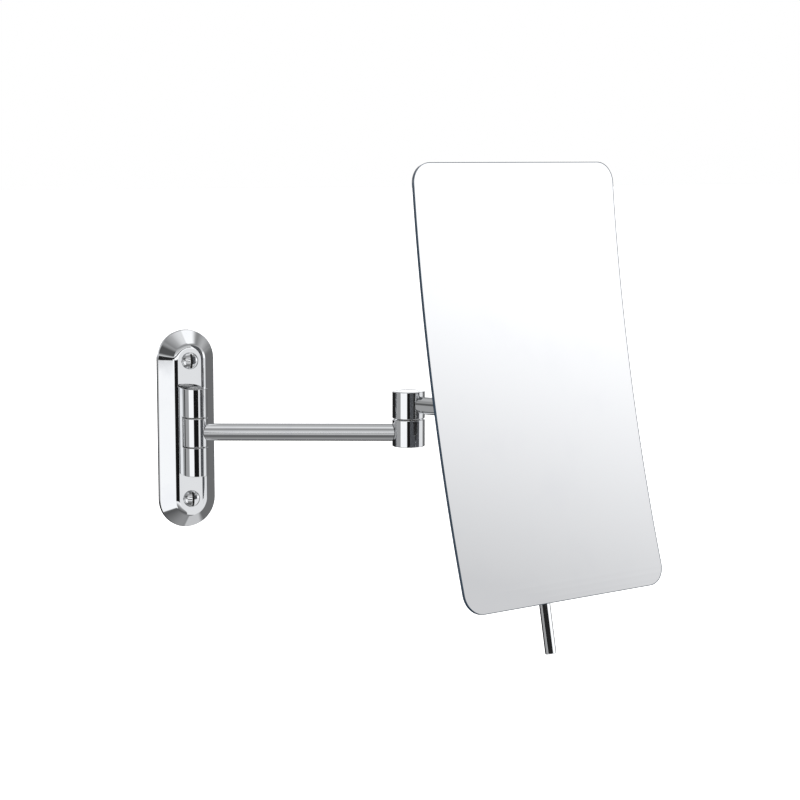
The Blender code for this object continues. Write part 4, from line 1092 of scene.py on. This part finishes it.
# %% [markdown]
# ## Mirror glass
# The glass is bent from top to bottom, hollow towards the user, so it enlarges a little
# in height. A flat outline is cut into many level strips, thickened, given a ground arris
# round both faces, and only then bent, which keeps each strip level and the reflection
# free of ripples. The front is silvered; the ground edge is a finish of its own, the dark
# blue-green of glass seen end on.

# %% Bent sheets
BEND_STRIPS = 72
BEND_RADIUS = 1.13


def rounded(width, height, corner, steps=16):
    points = []
    for index, (side, level) in enumerate(((1, 1), (-1, 1), (-1, -1), (1, -1))):
        centre = (side * (width / 2 - corner), level * (height / 2 - corner))
        points += arc(centre, corner, 90 * index, 90 * index + 90, steps)
    return points


def bend_depth(level):
    return BEND_RADIUS - math.sqrt(BEND_RADIUS ** 2 - level ** 2)


def bent_sheet(node, corner, thickness, front, back, inset=0.0):
    """Sheet of a node's outline, bent; front and back give each arris as (width, drop)."""
    low, high = span(node, TILT)
    bm = slab(rounded(high.x - low.x - 2 * inset, high.z - low.z - 2 * inset, corner - inset),
              0.0, thickness)
    for face in [f for f in bm.faces if abs(f.normal.y) > 0.5]:
        width, drop = front if face.calc_center_median().y < thickness / 2 else back
        inward = -drop if face.normal.y > 0 else drop
        rim = list(face.verts)
        bmesh.ops.inset_region(bm, faces=[face], thickness=width, use_even_offset=True)
        bmesh.ops.translate(bm, verts=rim, vec=(0, inward, 0))
    bm.normal_update()
    for i in range(1, BEND_STRIPS):
        level = low.z + (high.z - low.z) * i / BEND_STRIPS
        bmesh.ops.bisect_plane(bm, geom=bm.verts[:] + bm.edges[:] + bm.faces[:], dist=HAIR,
                               plane_co=(0, 0, level), plane_no=(0, 0, 1))
    for vert in bm.verts:
        vert.co.y += high.y - thickness - bend_depth(vert.co.z)
    return bm


# %% Glass, backing, pad and holder
GLASS = 1.8 * MM
PAINT_COAT = 0.4 * MM
PAD = 0.8 * MM
GLASS_CORNER = 11 * MM
HOLDER_CORNER = 8 * MM
FRONT_ARRIS = (0.35 * MM, 0.12 * MM)
BACK_ARRIS = (0.6 * MM, 0.6 * MM)
THIN_ARRIS = (0.1 * MM, 0.1 * MM)
FACES_FLAT = 0.99                # how squarely a silvered face points forwards or back
glass = bent_sheet("mirror_glass", GLASS_CORNER, GLASS, FRONT_ARRIS, BACK_ARRIS)
for face in glass.faces:
    face.material_index = 0 if abs(face.normal.y) > FACES_FLAT else 1
piece("mirror_glass", glass, SILVER, "mirror", TILT, extra=(GLASS_EDGE,))
coat = bent_sheet("mirror_backing", GLASS_CORNER, PAINT_COAT, THIN_ARRIS, THIN_ARRIS,
                  BACK_ARRIS[0])
piece("mirror_backing", coat, PAINT, "mirror", TILT)
pad = bent_sheet("adhesive_pad", HOLDER_CORNER, PAD, THIN_ARRIS, THIN_ARRIS)
piece("adhesive_pad", pad, FOAM, "mirror", TILT)

HOLDER = 2.0 * MM
HOLDER_ARRIS = (0.3 * MM, 0.3 * MM)
HOLDER_SCREW = 1.7 * MM
HOLDER_HEAD = 3.4 * MM
HEAD_SINK = 1.2 * MM
holder_screws = {}
for name in ("yoke_screw_upper", "yoke_screw_lower", "boss_screw"):
    low, high = span(name, TILT)
    holder_screws[name] = ((low.z + high.z) / 2, low.y, high.y)
countersinks = [
    turned([(0, face - MM, 0), (HOLDER_HEAD + GAP, face - MM, 0),
            (HOLDER_HEAD + GAP, face + HEAD_SINK + GAP, 0),
            (HOLDER_SCREW + GAP, face + HEAD_SINK + GAP, 0),
            (HOLDER_SCREW + GAP, face + 2 * HOLDER, 0), (0, face + 2 * HOLDER, 0)],
           "Y", (0, 0, level), 48)
    for level, face, _ in holder_screws.values()]
holder = bent_sheet("holder_plate", HOLDER_CORNER, HOLDER, HOLDER_ARRIS, HOLDER_ARRIS)
piece("holder_plate", carve(holder, *countersinks), STEEL, "mirror", TILT)

# %% [markdown]
# ## Tilt clamp
# The yoke straddles the tongue. A pin runs through both, and a fluted knob on its threaded
# end squeezes the cheeks on two nylon washers: tight enough to hold, loose enough to nod.

# %% Yoke
low, high = span("tilt_yoke", TILT)
yoke_half, base_half = high.x, high.z
yoke_front = low.y
YOKE_BASE = 3.0 * MM
CHEEK = 3.0 * MM
CHEEK_ROUND = 6.5 * MM
base = slab(box(-yoke_half, yoke_half, -base_half, base_half), yoke_front,
            yoke_front + YOKE_BASE)
cheeks = []
for side in (-1, 1):
    outline = [(yoke_front + MM, -CHEEK_ROUND), (0, -CHEEK_ROUND)]
    outline += arc((0, 0), CHEEK_ROUND, -90, 90, 40)[1:]
    outline += [(yoke_front + MM, CHEEK_ROUND)]
    near, far = sorted((side * (yoke_half - CHEEK), side * (yoke_half - 0.02 * MM)))
    cheeks.append(slab(outline, near, far, "X"))
yoke = carve(base, *cheeks, operation="UNION")
yoke = carve(yoke, drill(TILT_PIN + GAP, "X", (0, 0, 0), -2 * yoke_half, 2 * yoke_half),
             *[drill(HOLDER_SCREW + GAP, "Y", (0, 0, holder_screws[name][0]), yoke_front - MM,
                     yoke_front + YOKE_BASE + MM)
               for name in ("yoke_screw_upper", "yoke_screw_lower")])
piece("tilt_yoke", yoke, CHROME, "mirror", TILT, bevel=0.35 * MM)

# %% Pin, washers and knob
low, high = span("tilt_pin", TILT)
pin_head = high.z
head_inner = -(yoke_half + GAP)
THREAD_LENGTH = 9 * MM
PIN_PITCH = 0.8 * MM
blank = turned([(0, low.x, 0), (0.72 * pin_head, low.x, 0.5 * MM),
                (pin_head, low.x + 1.1 * MM, 0.3 * MM), (pin_head, head_inner, 0.2 * MM),
                (TILT_PIN, head_inner, 0), (TILT_PIN, high.x - THREAD_LENGTH, 0.2 * MM),
                (0, high.x - THREAD_LENGTH, 0)], "X")
pin = with_thread(blank, "X", (0, 0, 0), 0.84 * TILT_PIN, TILT_PIN, PIN_PITCH,
                  high.x - THREAD_LENGTH - 0.4 * MM, high.x, 0.5 * MM, 28)
piece("tilt_pin", pin, CHROME, "mirror", TILT)
for name in ("tilt_washer_left", "tilt_washer_right"):
    piece(name, ring(name, TILT, TILT_PIN + GAP, axis="X"), NYLON, "mirror", TILT)
split = ring("tilt_spring_washer", TILT, TILT_PIN + GAP, axis="X")
low, high = span("tilt_spring_washer", TILT)
gap_cut = slab(box(-0.5 * MM, 0.5 * MM, 0, 2 * high.z), low.x - MM, high.x + MM, "X")
piece("tilt_spring_washer", carve(split, gap_cut), STEEL, "mirror", TILT)

# %% [markdown]
# The knob's flutes are milled into a turned blank. Each ring of the blank is pushed in by
# a cosine of its angle, most at the girth and not at all at the faces, so the flutes run
# out into the chamfers as a ball-nosed cutter would leave them.

# %% Knob
FLUTES = 12
FLUTE_DEPTH = 0.7 * MM
FACE_SHARE = 0.8                 # a face's radius as a share of the knob's
KNOB_CHAMFER = 1.2 * MM
low, high = span("tilt_knob", TILT)
knob_radius = max(high.y, high.z)
bore, face_radius = TILT_PIN + 0.1 * MM, FACE_SHARE * knob_radius
knob = turned([(bore, low.x, 0.3 * MM), (face_radius, low.x, 0.3 * MM),
               (knob_radius, low.x + KNOB_CHAMFER, 0.6 * MM),
               (knob_radius, high.x - KNOB_CHAMFER, 0.6 * MM),
               (face_radius, high.x, 0.5 * MM), (bore, high.x, 0.3 * MM)],
              "X", (0, 0, 0), FLUTES * 16)
for vert in knob.verts:
    radius = vert.co.yz.length
    share = max(0.0, (radius - face_radius) / (knob_radius - face_radius))
    angle = math.atan2(vert.co.z, vert.co.y)
    depth = FLUTE_DEPTH * min(1.0, share) * (0.5 - 0.5 * math.cos(FLUTES * angle))
    vert.co.yz *= (radius - depth) / radius
piece("tilt_knob", knob, CHROME, "friction_knob", TILT)

# %% [markdown]
# ## Handle rod
# A short rod hangs below the glass so that fingers never touch the silvering. It is held in
# a small block on the holder plate by a grub screw.

# %% Rod, boss and screws
low, high = span("handle_rod", TILT)
rod_radius = (high.x - low.x) / 2
rod_y = (low.y + high.y) / 2
rod = turned([(0, low.z, 0), (rod_radius, low.z, 0.45 * MM), (rod_radius, high.z, 0.3 * MM),
              (0, high.z, 0)], "Z", (0, rod_y, 0))
piece("handle_rod", rod, CHROME, "mirror", TILT)

low, high = span("rod_boss", TILT)
boss_level = (low.z + high.z) / 2
GRUB = 1.8 * MM
GRUB_PITCH = 0.6 * MM
GRUB_SOCKET = 1.0 * MM
GRUB_SOCKET_DEPTH = 1.2 * MM
boss = slab(box(low.x, high.x, low.z, high.z), low.y, high.y)
boss = carve(boss, drill(rod_radius + GAP, "Z", (0, rod_y, 0), low.z - MM, high.z + MM, 64),
             drill(HOLDER_SCREW + GAP, "Y", (0, 0, boss_level), low.y - MM, rod_y),
             drill(GRUB + GAP, "Y", (0, 0, boss_level), rod_y, high.y + MM))
piece("rod_boss", boss, CHROME, "mirror", TILT, bevel=0.5 * MM)

low, high = span("handle_grub_screw", TILT)
grub = threaded(0.84 * GRUB, GRUB, GRUB_PITCH, low.y, high.y, steps=24)
grub.transform(Matrix.Translation((0, 0, boss_level)) @ AXIS_TURN["Y"])
socket = slab(hexagon((0, boss_level), GRUB_SOCKET), high.y - GRUB_SOCKET_DEPTH, high.y + MM)
piece("handle_grub_screw", carve(grub, socket), STEEL, "mirror", TILT)

# %% [markdown]
# The three screws through the holder plate have low flat heads that lie flush in its front,
# under the foam pad, so they go in before the glass is stuck on.

# %% Holder screws
HOLDER_CORE = 1.45 * MM
for name, (level, face, end) in holder_screws.items():
    seat = face + HEAD_SINK
    blank = turned([(0, face, 0), (HOLDER_HEAD, face, 0.15 * MM),
                    (HOLDER_HEAD, seat, 0.1 * MM), (HOLDER_CORE, seat, 0),
                    (HOLDER_CORE, seat + MM, 0), (0, seat + MM, 0)], "Y", (0, 0, level), 48)
    screw = with_thread(blank, "Y", (0, 0, level), HOLDER_CORE - 0.05 * MM, HOLDER_SCREW,
                        GRUB_PITCH, seat + 0.2 * MM, end, steps=24)
    piece(name, screw, STEEL, "mirror", TILT)
